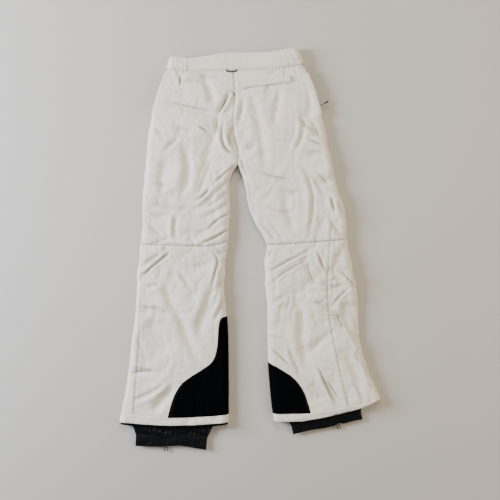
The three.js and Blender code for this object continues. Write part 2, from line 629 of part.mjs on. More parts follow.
// In a gaiter's own frame, +y runs up the leg from the cuff's lower edge and x across it.
function gaiter(name) {
  const g = GAITERS[name];
  const frame = new THREE.Group();
  frame.position.set(g.x, y(g.drop), Z_MID);
  frame.rotation.z = THREE.MathUtils.degToRad(g.lean);
  group.add(frame);

  const room = LEG_SPACE - 2 * GAP; // height inside the lining
  const cuffRoom = room - 2 * SKIRT - 2 * GAP;
  const narrow = CUFF_WIDTH / 2;
  const wide = legRoom(name, g.hemAt) - g.hemEase;
  const skirtLow = g.hemAt + SKIRT_LOW;
  const skirtHigh = g.hemAt + SKIRT_TOP;
  const skirt = [[wide + GAP + SKIRT, skirtLow], [legRoom(name, skirtHigh) - g.topEase, skirtHigh]];
  piece("gaiter_skirt_" + name, tube(skirt, room, SKIRT), GAITER_CLOTH, frame);
  const bandTop = Math.min(CUFF_BAND, g.hemAt - SKIRT_LOW);
  const cuff = [[narrow, 0], [narrow, bandTop], [wide, g.hemAt], [wide, skirtLow + CUFF_SLEEVE]];
  piece("gaiter_cuff_" + name, tube(cuff, cuffRoom, CUFF_WALL), GAITER_CLOTH, frame);

  const hook = new THREE.Group();
  hook.position.set(g.hookX, -GAP, (HOOK.thick - cuffRoom) / 2);
  frame.add(hook);
  const plate = block(HOOK.width, HOOK.length, HOOK.thick, 0, -HOOK.length / 2, 0);
  const eye = [HOOK.width - 2 * HOOK.wire, HOOK.length - 2 * HOOK.wire];
  const hole = block(...eye, 2 * HOOK.thick, 0, -HOOK.length / 2, 0);
  const mouthX = (eye[0] - HOOK.mouth) / 2;
  const mouth = block(HOOK.mouth, 2 * HOOK.wire, 2 * HOOK.thick, mouthX, -HOOK.length + HOOK.wire / 2, 0);
  piece("lace_hook_" + name, plate.subtract(hole).subtract(mouth), METAL, hook);
}

for (const name of ["left", "right"]) {
  upper(name);
  handPocket(name);
  shin(name);
  gaiter(name);
}
waistband();
fly();
backPocketParts();
lockerLoop();

export default group;
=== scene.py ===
# %% [markdown]
# Ski pants, laid front-down on a floor, seen from above.
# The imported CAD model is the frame: it says where everything is, in metres. Each cloth piece
# below is built round it as a grid of points, and rides on one of its bodies.
# %% Load the frame
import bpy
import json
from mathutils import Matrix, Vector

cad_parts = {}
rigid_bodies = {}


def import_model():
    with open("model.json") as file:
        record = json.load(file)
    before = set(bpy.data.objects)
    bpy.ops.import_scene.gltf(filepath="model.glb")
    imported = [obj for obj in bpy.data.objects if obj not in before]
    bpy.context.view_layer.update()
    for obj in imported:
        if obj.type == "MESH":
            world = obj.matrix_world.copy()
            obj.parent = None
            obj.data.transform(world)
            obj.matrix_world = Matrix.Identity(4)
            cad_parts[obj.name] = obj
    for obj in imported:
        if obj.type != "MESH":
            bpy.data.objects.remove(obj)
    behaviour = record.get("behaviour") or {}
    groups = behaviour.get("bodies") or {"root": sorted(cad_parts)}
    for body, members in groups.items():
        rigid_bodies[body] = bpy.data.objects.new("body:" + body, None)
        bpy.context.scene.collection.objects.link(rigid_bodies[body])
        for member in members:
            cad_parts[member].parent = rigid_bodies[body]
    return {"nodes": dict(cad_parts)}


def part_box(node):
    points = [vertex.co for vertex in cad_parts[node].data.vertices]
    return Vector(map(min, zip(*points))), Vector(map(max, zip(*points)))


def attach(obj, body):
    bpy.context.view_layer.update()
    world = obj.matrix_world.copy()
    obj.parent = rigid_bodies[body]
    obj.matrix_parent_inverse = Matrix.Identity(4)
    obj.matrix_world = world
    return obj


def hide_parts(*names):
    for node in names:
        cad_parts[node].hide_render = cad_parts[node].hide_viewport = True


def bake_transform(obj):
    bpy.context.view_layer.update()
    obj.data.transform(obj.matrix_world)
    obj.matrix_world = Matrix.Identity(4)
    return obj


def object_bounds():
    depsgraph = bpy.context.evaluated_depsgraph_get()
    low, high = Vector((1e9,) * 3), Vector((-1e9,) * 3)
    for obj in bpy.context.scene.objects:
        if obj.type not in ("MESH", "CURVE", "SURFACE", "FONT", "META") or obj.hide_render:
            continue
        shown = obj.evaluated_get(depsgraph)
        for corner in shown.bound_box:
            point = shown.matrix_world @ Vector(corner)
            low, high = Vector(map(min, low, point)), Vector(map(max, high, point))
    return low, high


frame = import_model()
cad_box = [list(corner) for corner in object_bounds()]

import json
import math
import bmesh
import bpy
import numpy as np
from mathutils import Vector
from mathutils.bvhtree import BVHTree

MM = 0.001
node = frame["nodes"]
low, high = (Vector(corner) for corner in cad_box)
print("box in mm", [round(v / MM) for v in low], [round(v / MM) for v in high])

# %% [markdown]
# The camera looks straight down, with the waist at the top of the picture.
# A 50 mm lens two metres up keeps the sides nearly parallel.
# %% Camera
VIEW_WIDTH = 1.4  # metres of floor across the picture
LENS, SENSOR = 50, 36
cam = bpy.data.objects.new("camera", bpy.data.cameras.new("camera"))
bpy.context.scene.collection.objects.link(cam)
cam.data.lens = LENS
cam.data.sensor_width = SENSOR
middle = (low + high) / 2
cam.location = (middle.x - 0.003, middle.y, VIEW_WIDTH * LENS / SENSOR + 0.022)
bpy.context.scene.camera = cam
print("camera", [round(v, 3) for v in cam.location])

# %% [markdown]
# Colours are written as the hex values a paint program shows, and turned to linear once.
# One small function adds a node with its settings and links. The rest of the script uses it
# for every material, so a material reads as a short list of nodes.
# %% Colours and nodes
def colour(hex_value):
    parts = [int(hex_value[i:i + 2], 16) / 255 for i in (0, 2, 4)]
    return tuple(c / 12.92 if c <= 0.04045 else ((c + 0.055) / 1.055) ** 2.4 for c in parts) + (1,)


def add(tree, kind, links=None, **settings):
    made = tree.nodes.new(kind)
    for name, value in settings.items():
        if name.startswith("in_"):
            key = int(name[3:]) if name[3:].isdigit() else name[3:].replace("_", " ")
            made.inputs[key].default_value = value
        else:
            setattr(made, name, value)
    for key, source in (links or {}).items():
        tree.links.new(source, made.inputs[key])
    return made


def material(name, roughness, **shader):
    made = bpy.data.materials.new(name)
    made.use_nodes = True
    bsdf = made.node_tree.nodes["Principled BSDF"]
    bsdf.inputs["Roughness"].default_value = roughness
    for key, value in shader.items():
        bsdf.inputs[key.replace("_", " ")].default_value = value
    return made, made.node_tree, bsdf


print("shell stone", [round(c, 3) for c in colour("D9D5C8")])

# %% [markdown]
# The floor is a plain pale sheet, and the light is a studio's: a cool soft box on the left,
# low enough to rake across the folds, a warmer one on the right, a fill above the waist and
# a soft sky.
# %% Floor and light
floor_mesh = bpy.data.meshes.new("floor")
FLOOR = 6  # metres from its middle to its edge
floor_mesh.from_pydata([(-FLOOR, -FLOOR, 0), (FLOOR, -FLOOR, 0), (FLOOR, FLOOR, 0), (-FLOOR, FLOOR, 0)],
                       [], [(0, 1, 2, 3)])
floor = bpy.data.objects.new("floor", floor_mesh)
bpy.context.scene.collection.objects.link(floor)
paper, tree, bsdf = material("studio_floor_paper", 0.9, Specular_IOR_Level=0.2)
coords = add(tree, "ShaderNodeTexCoord")
tone = add(tree, "ShaderNodeTexNoise", {"Vector": coords.outputs["Object"]}, in_Scale=1.5)
ramp = add(tree, "ShaderNodeMix", {"Factor": tone.outputs["Fac"]}, data_type="RGBA",
           in_6=colour("B9B6AF"), in_7=colour("BEBBB4"))
tree.links.new(ramp.outputs[2], bsdf.inputs["Base Color"])
floor_mesh.materials.append(paper)


def soft_box(name, place, aim, size, watts, tint):
    lamp = bpy.data.lights.new(name, "AREA")
    lamp.shape = "RECTANGLE"
    lamp.size, lamp.size_y = size
    lamp.energy = watts
    lamp.color = colour(tint)[:3]
    made = bpy.data.objects.new(name, lamp)
    bpy.context.scene.collection.objects.link(made)
    made.location = place
    made.rotation_euler = (Vector(aim) - Vector(place)).to_track_quat("-Z", "Y").to_euler()


soft_box("cool_left", (-2.2, -0.1, 1.1), (0, -0.5, 0), (0.8, 1.1), 145, "E6EDFF")
soft_box("warm_right", (2.1, -0.6, 1.7), (0, -0.4, 0), (1.2, 1.4), 38, "FFE4BE")
soft_box("top_fill", (0.3, 1.6, 2.4), (0, -0.5, 0), (1.2, 1.2), 52, "FFF3E0")
world = bpy.data.worlds.new("studio")
bpy.context.scene.world = world
world.use_nodes = True
world.node_tree.nodes["Background"].inputs["Color"].default_value = colour("F2F1EE")
world.node_tree.nodes["Background"].inputs["Strength"].default_value = 0.3

# %% [markdown]
# The outline is already in the CAD solids, so it is measured there. A level line
# across a solid meets its edges on the left and on the right; a run of such levels gives the
# two side lines, which are then smoothed, as cloth has no corners.
# Distances below the waist are called drops, in mm, and are what a tailor would measure.
# %% Side lines from the CAD
TOP_Y = 0.029


def edge_ends(names, lean=0.0):
    """Both ends of every edge of some CAD nodes, seen from above and turned back by a lean."""
    turn = np.array([[math.cos(lean), math.sin(lean)], [-math.sin(lean), math.cos(lean)]])
    a, b = [], []
    for name in names:
        mesh = node[name].data
        co = np.array([v.co[:2] for v in mesh.vertices]) @ turn.T
        pairs = np.array([e.vertices for e in mesh.edges])
        a.append(co[pairs[:, 0]])
        b.append(co[pairs[:, 1]])
    return np.concatenate(a), np.concatenate(b)


def crossings(a, b, place, axis):
    """Where edges cross a line at one place on an axis, as places on the other axis."""
    other = 1 - axis
    with np.errstate(divide="ignore", invalid="ignore"):
        share = (place - a[:, axis]) / (b[:, axis] - a[:, axis])
    hit = (share >= 0) & (share <= 1)
    return a[hit, other] + share[hit] * (b[hit, other] - a[hit, other])


def side_lines(names, drops, lean=0.0):
    a, b = edge_ends(names, lean)
    cuts = [crossings(a, b, y, 1) for y in TOP_Y - np.asarray(drops) * MM]
    return np.array([(x.min(), x.max()) if len(x) else (np.nan, np.nan) for x in cuts]) / MM


def smooth(values, width):
    kernel = np.hanning(width + 2)[1:-1]
    padded = np.pad(values, width // 2, mode="reflect", reflect_type="odd")
    return np.convolve(padded, kernel / kernel.sum(), "valid")[:len(values)]


SIDES = ("left", "right")
WAY = {"left": -1, "right": 1}
leg_drops = np.arange(20, 1033, 4.0)
outseam, inseam = {}, {}
for side in SIDES:
    shells = [f"{part}_{side}" for part in ("back_shell", "shin_back_shell", "kick_patch", "hem_band")]
    lines = side_lines(shells, leg_drops)
    outer, inner = (lines[:, 0], lines[:, 1]) if side == "left" else (lines[:, 1], lines[:, 0])
    known = ~np.isnan(outer)
    outseam[side] = smooth(np.interp(leg_drops, leg_drops[known], outer[known]), 11)
    inseam[side] = np.interp(leg_drops, leg_drops[known], inner[known])
    print(side, "outseam mm", [round(float(v)) for v in outseam[side][::40]],
          "inseam mm", [round(float(v)) for v in inseam[side][::40]])

# %% [markdown]
# The hem and the waist seam are measured the same way, with upright cuts instead of level
# ones. Above the crotch the two legs meet at the seat seam, which wanders a little to the
# left because the cloth lies in a fold there.
# %% Waist seam, hems and seat seam
def upright_cuts(names, xs, lowest):
    a, b = edge_ends(names)
    pick = min if lowest else max
    cuts = [crossings(a, b, x, 0) for x in np.asarray(xs) * MM]
    return (TOP_Y - np.array([pick(y) if len(y) else np.nan for y in cuts])) / MM


def filled(xs, values):
    known = ~np.isnan(values)
    return np.interp(xs, xs[known], values[known])


waist_x = np.arange(-198, 184, 6.0)
waist_drop = smooth(filled(waist_x, upright_cuts(["back_shell_left", "back_shell_right"], waist_x, False)), 5)
hem_x, hem_drop = {}, {}
for side in SIDES:
    lo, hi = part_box(f"hem_band_{side}")
    ends = sorted((outseam[side][-1], inseam[side][-3]))
    hem_x[side] = np.linspace(max(lo.x / MM + 1, ends[0] + 3),
                              min(hi.x / MM - 1, max(ends[1], hi.x / MM) - 3), 60)
    found = upright_cuts([f"hem_band_{side}"], hem_x[side], True)
    hem_drop[side] = smooth(filled(hem_x[side], found), 9)
SEAT_SEAM = [(0, -12), (52, -12), (106, -8), (160, -10), (218, -14), (251, -9), (278, 0), (314, 0)]
CROTCH = 314
print("waist seam drops", waist_drop[::12].round(), "left hem drops", hem_drop["left"][::12].round())


def outer_x(side, drop):
    return np.interp(drop, leg_drops, outseam[side])


def inner_x(side, drop):
    seat = np.interp(drop, *zip(*SEAT_SEAM))
    return np.where(drop < CROTCH, seat, np.interp(drop, leg_drops, inseam[side]))


# %% [markdown]
# Wrinkles are what makes cloth look like cloth. A fold is a stroke on the garment: a soft
# groove with a ridge on one side, fading out at both ends. The stroke is rounded first by
# cutting its corners. Between the named folds a crumple fills in: value
# noise whose zero lines are sharp, as creases in a filled, coated cloth are.
# %% Strokes and crumples
def round_off(points, times=2):
    p = np.asarray(points, float)
    for _ in range(times):
        a, b = p[:-1] * 0.75 + p[1:] * 0.25, p[:-1] * 0.25 + p[1:] * 0.75
        p = np.vstack([p[:1], np.stack([a, b], 1).reshape(-1, p.shape[1]), p[-1:]])
    return p


def to_stroke(points, x, drop):
    """Distance across a stroke (plus on its left-hand side) and length along it, in mm."""
    best = np.full(x.shape, 1e9)
    signed, along = np.zeros(x.shape), np.zeros(x.shape)
    start = 0.0
    for a, b in zip(points[:-1], points[1:]):
        d = b - a
        size = max(float(np.hypot(*d)), 1e-6)
        t = np.clip(((x - a[0]) * d[0] + (drop - a[1]) * d[1]) / size ** 2, 0, 1)
        dx, dy = x - a[0] - t * d[0], drop - a[1] - t * d[1]
        gap = np.hypot(dx, dy)
        near = gap < best
        best = np.where(near, gap, best)
        signed = np.where(near, gap * np.sign(d[0] * dy - d[1] * dx), signed)
        along = np.where(near, start + t * size, along)
        start += size
    return signed, along / start, start


def fold(height, x, drop, points, depth, width, ridge=0.6):
    line = round_off(points)
    reach = 5 * width
    near = ((x > line[:, 0].min() - reach) & (x < line[:, 0].max() + reach)
            & (drop > line[:, 1].min() - reach) & (drop < line[:, 1].max() + reach))
    s, t, _ = to_stroke(line, x[near], drop[near])
    fade = np.clip(4 * np.minimum(t, 1 - t) + 0.12, 0, 1)
    groove = -np.exp(-(s / width) ** 2)
    side_ridge = ridge * np.exp(-((s - 1.9 * width) / (1.3 * width)) ** 2)
    other = 0.35 * ridge * np.exp(-((s + 2.2 * width) / (1.5 * width)) ** 2)
    height[near] += depth * fade * (groove + side_ridge + other)


def painted_groove_shade(x, drop):
    """How much painted shade a point takes: most in the sharp creases, some in seams."""
    painted_shade_amount = np.zeros(x.shape)
    for n, points in enumerate(FOLDS["deep"] + FOLDS["crease"] + FOLDS["soft"]):
        s, t, _ = to_stroke(round_off(points), x, drop)
        fade = np.clip(3 * np.minimum(t, 1 - t), 0, 1)
        wide, strength = (2.6, 1.0) if n < len(FOLDS["deep"] + FOLDS["crease"]) else (4.5, 0.45)
        painted_shade_amount = np.maximum(painted_shade_amount, strength * fade * np.exp(-(s / wide) ** 2))
    for points in SEAMS.values():
        s, _, _ = to_stroke(round_off(points), x, drop)
        painted_shade_amount = np.maximum(painted_shade_amount, 0.55 * np.exp(-(s / 1.8) ** 2))
    return painted_shade_amount


CELLS = 97  # the noise repeats after this many cells


def ripple(x, y, size, seed):
    cells = np.random.default_rng(seed).uniform(-1, 1, (CELLS, CELLS))
    gx, gy = x / size + 31.7, y / size + 17.3
    ix, iy = np.floor(gx).astype(int), np.floor(gy).astype(int)
    fx, fy = gx - ix, gy - iy
    fx, fy = fx ** 3 * (fx * (6 * fx - 15) + 10), fy ** 3 * (fy * (6 * fy - 15) + 10)
    a, b = cells[ix % CELLS, iy % CELLS], cells[(ix + 1) % CELLS, iy % CELLS]
    c, d = cells[ix % CELLS, (iy + 1) % CELLS], cells[(ix + 1) % CELLS, (iy + 1) % CELLS]
    return (a * (1 - fx) + b * fx) * (1 - fy) + (c * (1 - fx) + d * fx) * fy


def crumple(x, y, size, seed):
    bent_x = x + size * 0.9 * ripple(x, y, size * 1.7, seed + 1)
    bent_y = y + size * 0.9 * ripple(x, y, size * 1.7, seed + 2)
    return np.sqrt(ripple(bent_x, bent_y, size, seed) ** 2 + 0.004) * 2 - 0.6


def ease(value, start, end):
    t = np.clip((value - start) / (end - start), 0, 1)
    return t * t * (3 - 2 * t)


def gathers(s, spacing, seed, wander=0.4):
    bend = ripple(s, s * 0, spacing * 3, seed) * wander + ripple(s, s * 0 + 9, spacing * 7, seed) * wander * 2
    return np.abs(np.sin(np.pi * (s / spacing + bend))) ** 0.75


def spot(x, drop, at_x, at_drop, wide, tall):
    return np.exp(-((x - at_x) / wide) ** 2 - ((drop - at_drop) / tall) ** 2)


print("a stroke of", len(round_off([(0, 0), (10, 5), (20, 0)])), "points")

# %% [markdown]
# The named folds, as (distance from the middle, drop) in mm, in four kinds. A kind has a
# depth, a width and a share of ridge. They gather where a body bends: below the seat, at the
# back of the knee, and across the calf. Seams pull the cloth in too: a narrow groove, with
# small puckers on both sides. Some places are busier than others with small crumples.
# %% The folds and seams of this pair
FOLD_KINDS = {"deep": (8.0, 4.2, 0.7), "crease": (5.0, 3.4, 0.6), "soft": (3.8, 6.0, 0.7),
              "valley": (6.4, 12.0, 0.4)}
FOLDS = {
    "deep": [
        # seat: the long crease under the left cheek, and the knot of folds at the crotch
        [(-196, 139), (-152, 150), (-109, 159), (-78, 167), (-57, 172)],
        [(-57, 172), (-40, 152), (-24, 112)],
        [(-39, 192), (-48, 236), (-39, 268), (-20, 284), (1, 281)],
        [(-15, 206), (-8, 251), (3, 278), (3, 310)],
    ],
    "crease": [
        [(-24, 114), (-40, 142), (-54, 181)], [(-22, 108), (-8, 116), (-14, 132)],
        [(-14, 206), (-28, 246), (-12, 268)], [(-54, 181), (-60, 204), (-50, 228)],
        [(-112, 206), (-82, 226)], [(-161, 66), (-161, 96)], [(51, 251), (40, 266), (26, 276)],
        # thighs
        [(-3, 316), (-34, 338), (-67, 369)], [(-78, 382), (-96, 402), (-116, 417)],
        [(-19, 386), (-54, 414), (-94, 440)], [(-14, 446), (-57, 470), (-84, 496)],
        [(-14, 488), (-62, 519), (-104, 537)], [(-262, 470), (-236, 498), (-209, 524)],
        [(56, 336), (90, 348), (151, 360)], [(256, 401), (270, 448)], [(221, 336), (256, 376)],
        [(6, 291), (15, 326), (27, 350)], [(196, 246), (238, 262)], [(204, 190), (232, 246)],
        # knees and calves
        [(-186, 559), (-229, 591), (-272, 632)], [(-76, 552), (-54, 580), (-64, 616), (-74, 660)],
        [(-24, 555), (-60, 566)], [(86, 618), (136, 586), (203, 555)],
        [(91, 653), (121, 621), (161, 600), (188, 585)], [(193, 580), (201, 626), (222, 658)],
        [(222, 555), (231, 591), (252, 622)], [(264, 708), (286, 681), (312, 660)],
        [(274, 722), (286, 760), (302, 778)], [(281, 606), (306, 632), (334, 664)],
        [(96, 552), (84, 574)], [(-304, 908), (-288, 893), (-226, 893)],
        [(84, 822), (116, 850), (158, 888)],
        [(222, 876), (246, 936), (276, 990)], [(246, 916), (288, 978)],
    ],
    "soft": [
        [(-144, 66), (-90, 70), (-34, 75)], [(-150, 84), (-96, 82)], [(-240, 206), (-207, 238)],
        [(-169, 211), (-126, 227)], [(-210, 281), (-165, 240)], [(-240, 370), (-176, 374)],
        [(-64, 286), (-84, 326), (-99, 366), (-114, 411)], [(1, 336), (-39, 371), (-84, 416), (-129, 450)],
        [(-269, 401), (-229, 426), (-179, 440), (-120, 445)], [(-264, 431), (-226, 464), (-192, 455)],
        [(-14, 416), (-64, 446), (-106, 470)], [(-174, 456), (-180, 500), (-172, 522)],
        [(-150, 500), (-112, 508), (-84, 496)], [(-246, 540), (-190, 520)],
        [(16, 131), (6, 176), (0, 206)], [(81, 90), (92, 106), (91, 128)], [(84, 62), (104, 57)],
        [(176, 166), (186, 201), (176, 246), (154, 290)], [(151, 148), (161, 186), (156, 226), (136, 290)],
        [(176, 316), (201, 361), (211, 416), (205, 470), (198, 510)], [(186, 326), (221, 366), (241, 408)],
        [(236, 416), (246, 456), (226, 494)], [(276, 412), (298, 464)], [(256, 466), (272, 497), (302, 522)],
        [(190, 288), (224, 276), (248, 292)], [(161, 176), (196, 214), (236, 226)],
        [(21, 346), (36, 396), (26, 444)], [(51, 396), (36, 428), (52, 464)],
        [(81, 431), (121, 450), (163, 446)],
        [(56, 476), (91, 506), (106, 532)], [(116, 380), (150, 396), (180, 386)],
        [(-209, 566), (-244, 581), (-270, 607)], [(-164, 621), (-138, 648)], [(-130, 602), (-74, 586)],
        [(-44, 616), (-54, 676), (-74, 728)], [(-34, 676), (-48, 716), (-66, 752)],
        [(-272, 716), (-214, 720), (-182, 738)], [(-294, 976), (-244, 956), (-199, 924)],
        [(-256, 660), (-216, 648)], [(-282, 800), (-262, 850), (-256, 884)],
        [(211, 696), (241, 711), (272, 720)], [(311, 726), (326, 756), (332, 808)],
        [(136, 666), (146, 696), (131, 728)], [(141, 821), (156, 866), (178, 908)],
        [(326, 846), (356, 878), (378, 928)], [(211, 921), (232, 978)], [(96, 700), (130, 688)],
        [(330, 930), (352, 980)], [(232, 640), (262, 660), (300, 652)],
    ],
    "valley": [
        [(-44, 188), (-76, 256), (-96, 318)], [(-96, 60), (-80, 110), (-66, 150)],
        [(36, 116), (56, 181), (71, 270), (81, 330)], [(116, 96), (112, 150), (96, 210)],
        [(-209, 624), (-194, 691), (-164, 736), (-139, 806), (-116, 858), (-90, 880)],
        [(-62, 620), (-70, 668), (-86, 712), (-109, 761), (-100, 806)],
        [(-246, 744), (-224, 796), (-198, 850)], [(131, 396), (138, 446), (158, 500)],
        [(161, 686), (181, 741), (176, 806), (196, 880)], [(196, 846), (236, 806), (272, 778)],
        [(-200, 300), (-214, 350), (-206, 400)], [(-150, 260), (-136, 330), (-150, 400)],
        [(200, 100), (206, 150), (190, 200)], [(300, 840), (330, 890), (344, 950)],
        [(-176, 930), (-210, 970), (-236, 1010)],
    ],
}
SEAMS = {
    "knee_left": [(-276, 538), (-180, 541), (-88, 545), (-50, 538), (-22, 528)],
    "knee_right": [(80, 540), (150, 537), (256, 529), (306, 525)],
    "calf_left_upper": [(-289, 714), (-250, 715), (-210, 717)],
    "calf_left_lower": [(-308, 883), (-268, 887), (-226, 893)],
    "calf_right_inner": [(82, 794), (106, 797), (131, 802)],
    "calf_right_outer": [(242, 723), (272, 723)],
    "outseam_left": [(-257, 440), (-268, 560), (-272, 640), (-274, 760), (-282, 890), (-292, 1010)],
    "outseam_right": [(263, 470), (252, 596), (249, 675), (255, 733), (263, 790), (274, 840),
                      (291, 918), (305, 974), (313, 1004)],
    "seat": [(-12, 52), (-8, 106), (-10, 160), (-14, 218), (-9, 251), (0, 278), (0, 312)],
    "dart_left": [(-174, 53), (-161, 72), (-160, 92)],
    "dart_right": [(130, 50), (129, 72)],
}


CALM = 0.55
BUSY = [(0.9, 262, 400, 60, 170), (0.6, -20, 260, 60, 90), (0.5, 150, 640, 140, 90),
        (0.5, -150, 560, 140, 90), (0.5, -120, 430, 120, 50), (0.4, 330, 760, 60, 130)]
# Each crumple: depth, shares of x and drop, size, seed.
CRUMPLES = [(2.8, 0.8, 1.0, 74, 5), (2.2, 1.0, 0.9, 33, 11), (1.0, 1.0, 1.0, 15, 23)]


def relief(x, drop):
    """Height of folds, crumples and seams above the plain surface, in mm."""
    h = np.zeros(x.shape)
    for kind, lines in FOLDS.items():
        depth, width, ridge = FOLD_KINDS[kind]
        for n, points in enumerate(lines):
            vary = 1 + 0.25 * math.sin(2.4 * n)
            fold(h, x, drop, points, depth * vary, width, ridge * (1 if n % 3 else -1))
    busy = CALM
    for weight, *place in BUSY:
        busy = busy + weight * spot(x, drop, *place)
    for depth, across, down, size, seed in CRUMPLES:
        h += busy * depth * crumple(x * across, drop * down, size, seed)
    h += 1.6 * ripple(x, drop, 120, 41)
    below = np.exp(-np.maximum(drop - 50, 0) / 26) * (ease(-x, 138, 150) + ease(x, 92, 104))
    h += 1.5 * below * (gathers(x + 8 * ripple(x, drop, 40, 51), 13, 53) - 0.5)
    for n, points in enumerate(SEAMS.values()):
        s, t, size = to_stroke(round_off(points), x, drop)
        ends = np.clip(np.minimum(t, 1 - t) * size / 14 + 0.25, 0, 1)
        pucker = np.sin(t * size / 2.3 + 2 * ripple(x, drop, 30, 60 + n)) * np.exp(-(s / 9) ** 2)
        shoulders = 0.8 * np.exp(-((np.abs(s) - 7) / 5) ** 2)
        h += ends * (-1.5 * np.exp(-(s / 2.6) ** 2) + shoulders + 0.35 * pucker)
    return h


print({kind: len(lines) for kind, lines in FOLDS.items()}, "folds and", len(SEAMS), "seams")

# %% [markdown]
# The shell is a woven polyester, dyed stone and proofed, so it is matt with a faint sheen and
# keeps small crinkles. Thread spacing is about 0.4 mm; the weave is drawn at 1.1 mm so it
# shows close up. The pattern reads each piece's own map, in metres along the cloth.
# %% Shell and lining materials
def woven(name, tones, roughness, thread, weave_depth, crinkle, blotch=0.35, painted_shade_tone=None, **shader):
    made, tree, bsdf = material(name, roughness, **shader)
    uv = add(tree, "ShaderNodeTexCoord").outputs["UV"]
    warp = add(tree, "ShaderNodeTexWave", {"Vector": uv}, bands_direction="X",
               in_Scale=0.314 / (thread * MM), in_Distortion=0.4, in_Detail=1.0)
    weft = add(tree, "ShaderNodeTexWave", {"Vector": uv}, bands_direction="Y",
               in_Scale=0.314 / (thread * MM), in_Distortion=0.4, in_Detail=1.0)
    cross = add(tree, "ShaderNodeMath", {0: warp.outputs["Fac"], 1: weft.outputs["Fac"]}, operation="ADD")
    large = add(tree, "ShaderNodeTexNoise", {"Vector": uv}, in_Scale=6.0, in_Detail=4.0)
    fine = add(tree, "ShaderNodeTexNoise", {"Vector": uv}, in_Scale=60.0, in_Detail=6.0, in_Distortion=0.6)
    blend = add(tree, "ShaderNodeMapRange", {"Value": large.outputs["Fac"]},
                in_1=0.5 - blotch, in_2=0.5 + blotch)
    base = add(tree, "ShaderNodeMix", {"Factor": blend.outputs["Result"]}, data_type="RGBA",
               in_6=colour(tones[0]), in_7=colour(tones[1]))
    thread_tone = add(tree, "ShaderNodeMapRange", {"Value": cross.outputs[0]}, in_2=2.0, in_3=0.0, in_4=1.0)
    shaded = add(tree, "ShaderNodeMix", {"Factor": thread_tone.outputs["Result"], 6: base.outputs[2]},
                 data_type="RGBA", blend_type="MULTIPLY", in_7=colour("F4F4F3"))
    # Painted shade: the colour is darkened towards a darker tone in creases and seams, by the amount stored
    # on the mesh.
    if painted_shade_tone:
        painted_shade_amount = add(tree, "ShaderNodeAttribute", attribute_name="painted_groove_shade")
        shaded = add(tree, "ShaderNodeMix", {"Factor": painted_shade_amount.outputs["Fac"], 6: shaded.outputs[2]},
                     data_type="RGBA", in_7=colour(painted_shade_tone))
    tree.links.new(shaded.outputs[2], bsdf.inputs["Base Color"])
    rough = add(tree, "ShaderNodeMapRange", {"Value": fine.outputs["Fac"]},
                in_3=roughness - 0.07, in_4=roughness + 0.07)
    tree.links.new(rough.outputs["Result"], bsdf.inputs["Roughness"])
    threads = add(tree, "ShaderNodeBump", {"Height": cross.outputs[0]}, in_Strength=0.5,
                  in_Distance=weave_depth * MM)
    crinkles = add(tree, "ShaderNodeBump",
                   {"Height": fine.outputs["Fac"], "Normal": threads.outputs["Normal"]},
                   in_Strength=0.6, in_Distance=crinkle * MM)
    tree.links.new(crinkles.outputs["Normal"], bsdf.inputs["Normal"])
    return made


# A39C8E is the painted shade tone for the grooves of creases and seams.
shell_cloth = woven("stone_polyester_shell_woven", ("EBE6DA", "E1DBCB"), 0.72, 1.1, 0.025, 1.8,
                    painted_shade_tone="A39C8E", Specular_IOR_Level=0.35, Sheen_Weight=0.12)
lining = woven("silver_grey_taffeta_lining", ("A9A9A6", "9C9C9A"), 0.55, 0.8, 0.03, 1.5)
print("materials", shell_cloth.name, lining.name)

# %% [markdown]
# A leg is a flat tube: a back layer, a rounded edge, a front layer and another rounded edge.
# It is laid out as rows of points, three millimetres apart, close together round the edges.
# Rows start on one curve and end on another, so a piece can begin at a slanting seam.
# The back layer carries the relief; the front lies on the floor and is nearly flat.
# %% The leg as a grid
STEP = 3.0
MID, BACK = 11.0, 27.0  # height of a leg's side edges and of its back layer, in mm
ROLL = 20  # radius of the rounded edges
EDGE_STEPS = np.array([0, 0.035, 0.13, 0.28, 0.47, 0.7, 1.0])
FRONT_SPACING = 2.2
ZIP_DROPS = (61, 168)
FLAP_EDGE = [(690, 300), (705, 284), (738, 283), (776, 302), (838, 340), (870, 357)]


def zip_zone(drop):
    begin, end = ZIP_DROPS
    return ease(drop, begin - 14, begin - 2) * (1 - ease(drop, end + 2, end + 16))


def edges_of(side, drop, layer="back"):
    """Ends of a level line across a leg. Beside the pocket, the front layer starts inside the zip,
    and the back layer hangs over it."""
    outer = outer_x(side, drop)
    inner = inner_x(side, drop)
    if layer == "front":
        lo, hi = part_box(f"hand_pocket_zip_{side}")
        ends = (hi.x, lo.x) if side == "left" else (lo.x, hi.x)
        zip_x = np.interp(drop, ZIP_DROPS, np.array(ends) / MM)
        share = zip_zone(drop)
        outer = outer * (1 - share) + (zip_x - WAY[side] * 4.2) * share
    wave = 1.7 * ripple(drop, drop * 0, 34, 71) + 0.9 * ripple(drop, drop * 0 + 5, 13, 73)
    free = ease(drop, 180, 230) * (1 - ease(drop, 985, 1015))
    outer = outer + wave * free
    inner = inner - 1.1 * wave * ease(drop, 330, 350) * (1 - ease(drop, 700, 730))
    return (outer, inner) if side == "left" else (inner, outer)


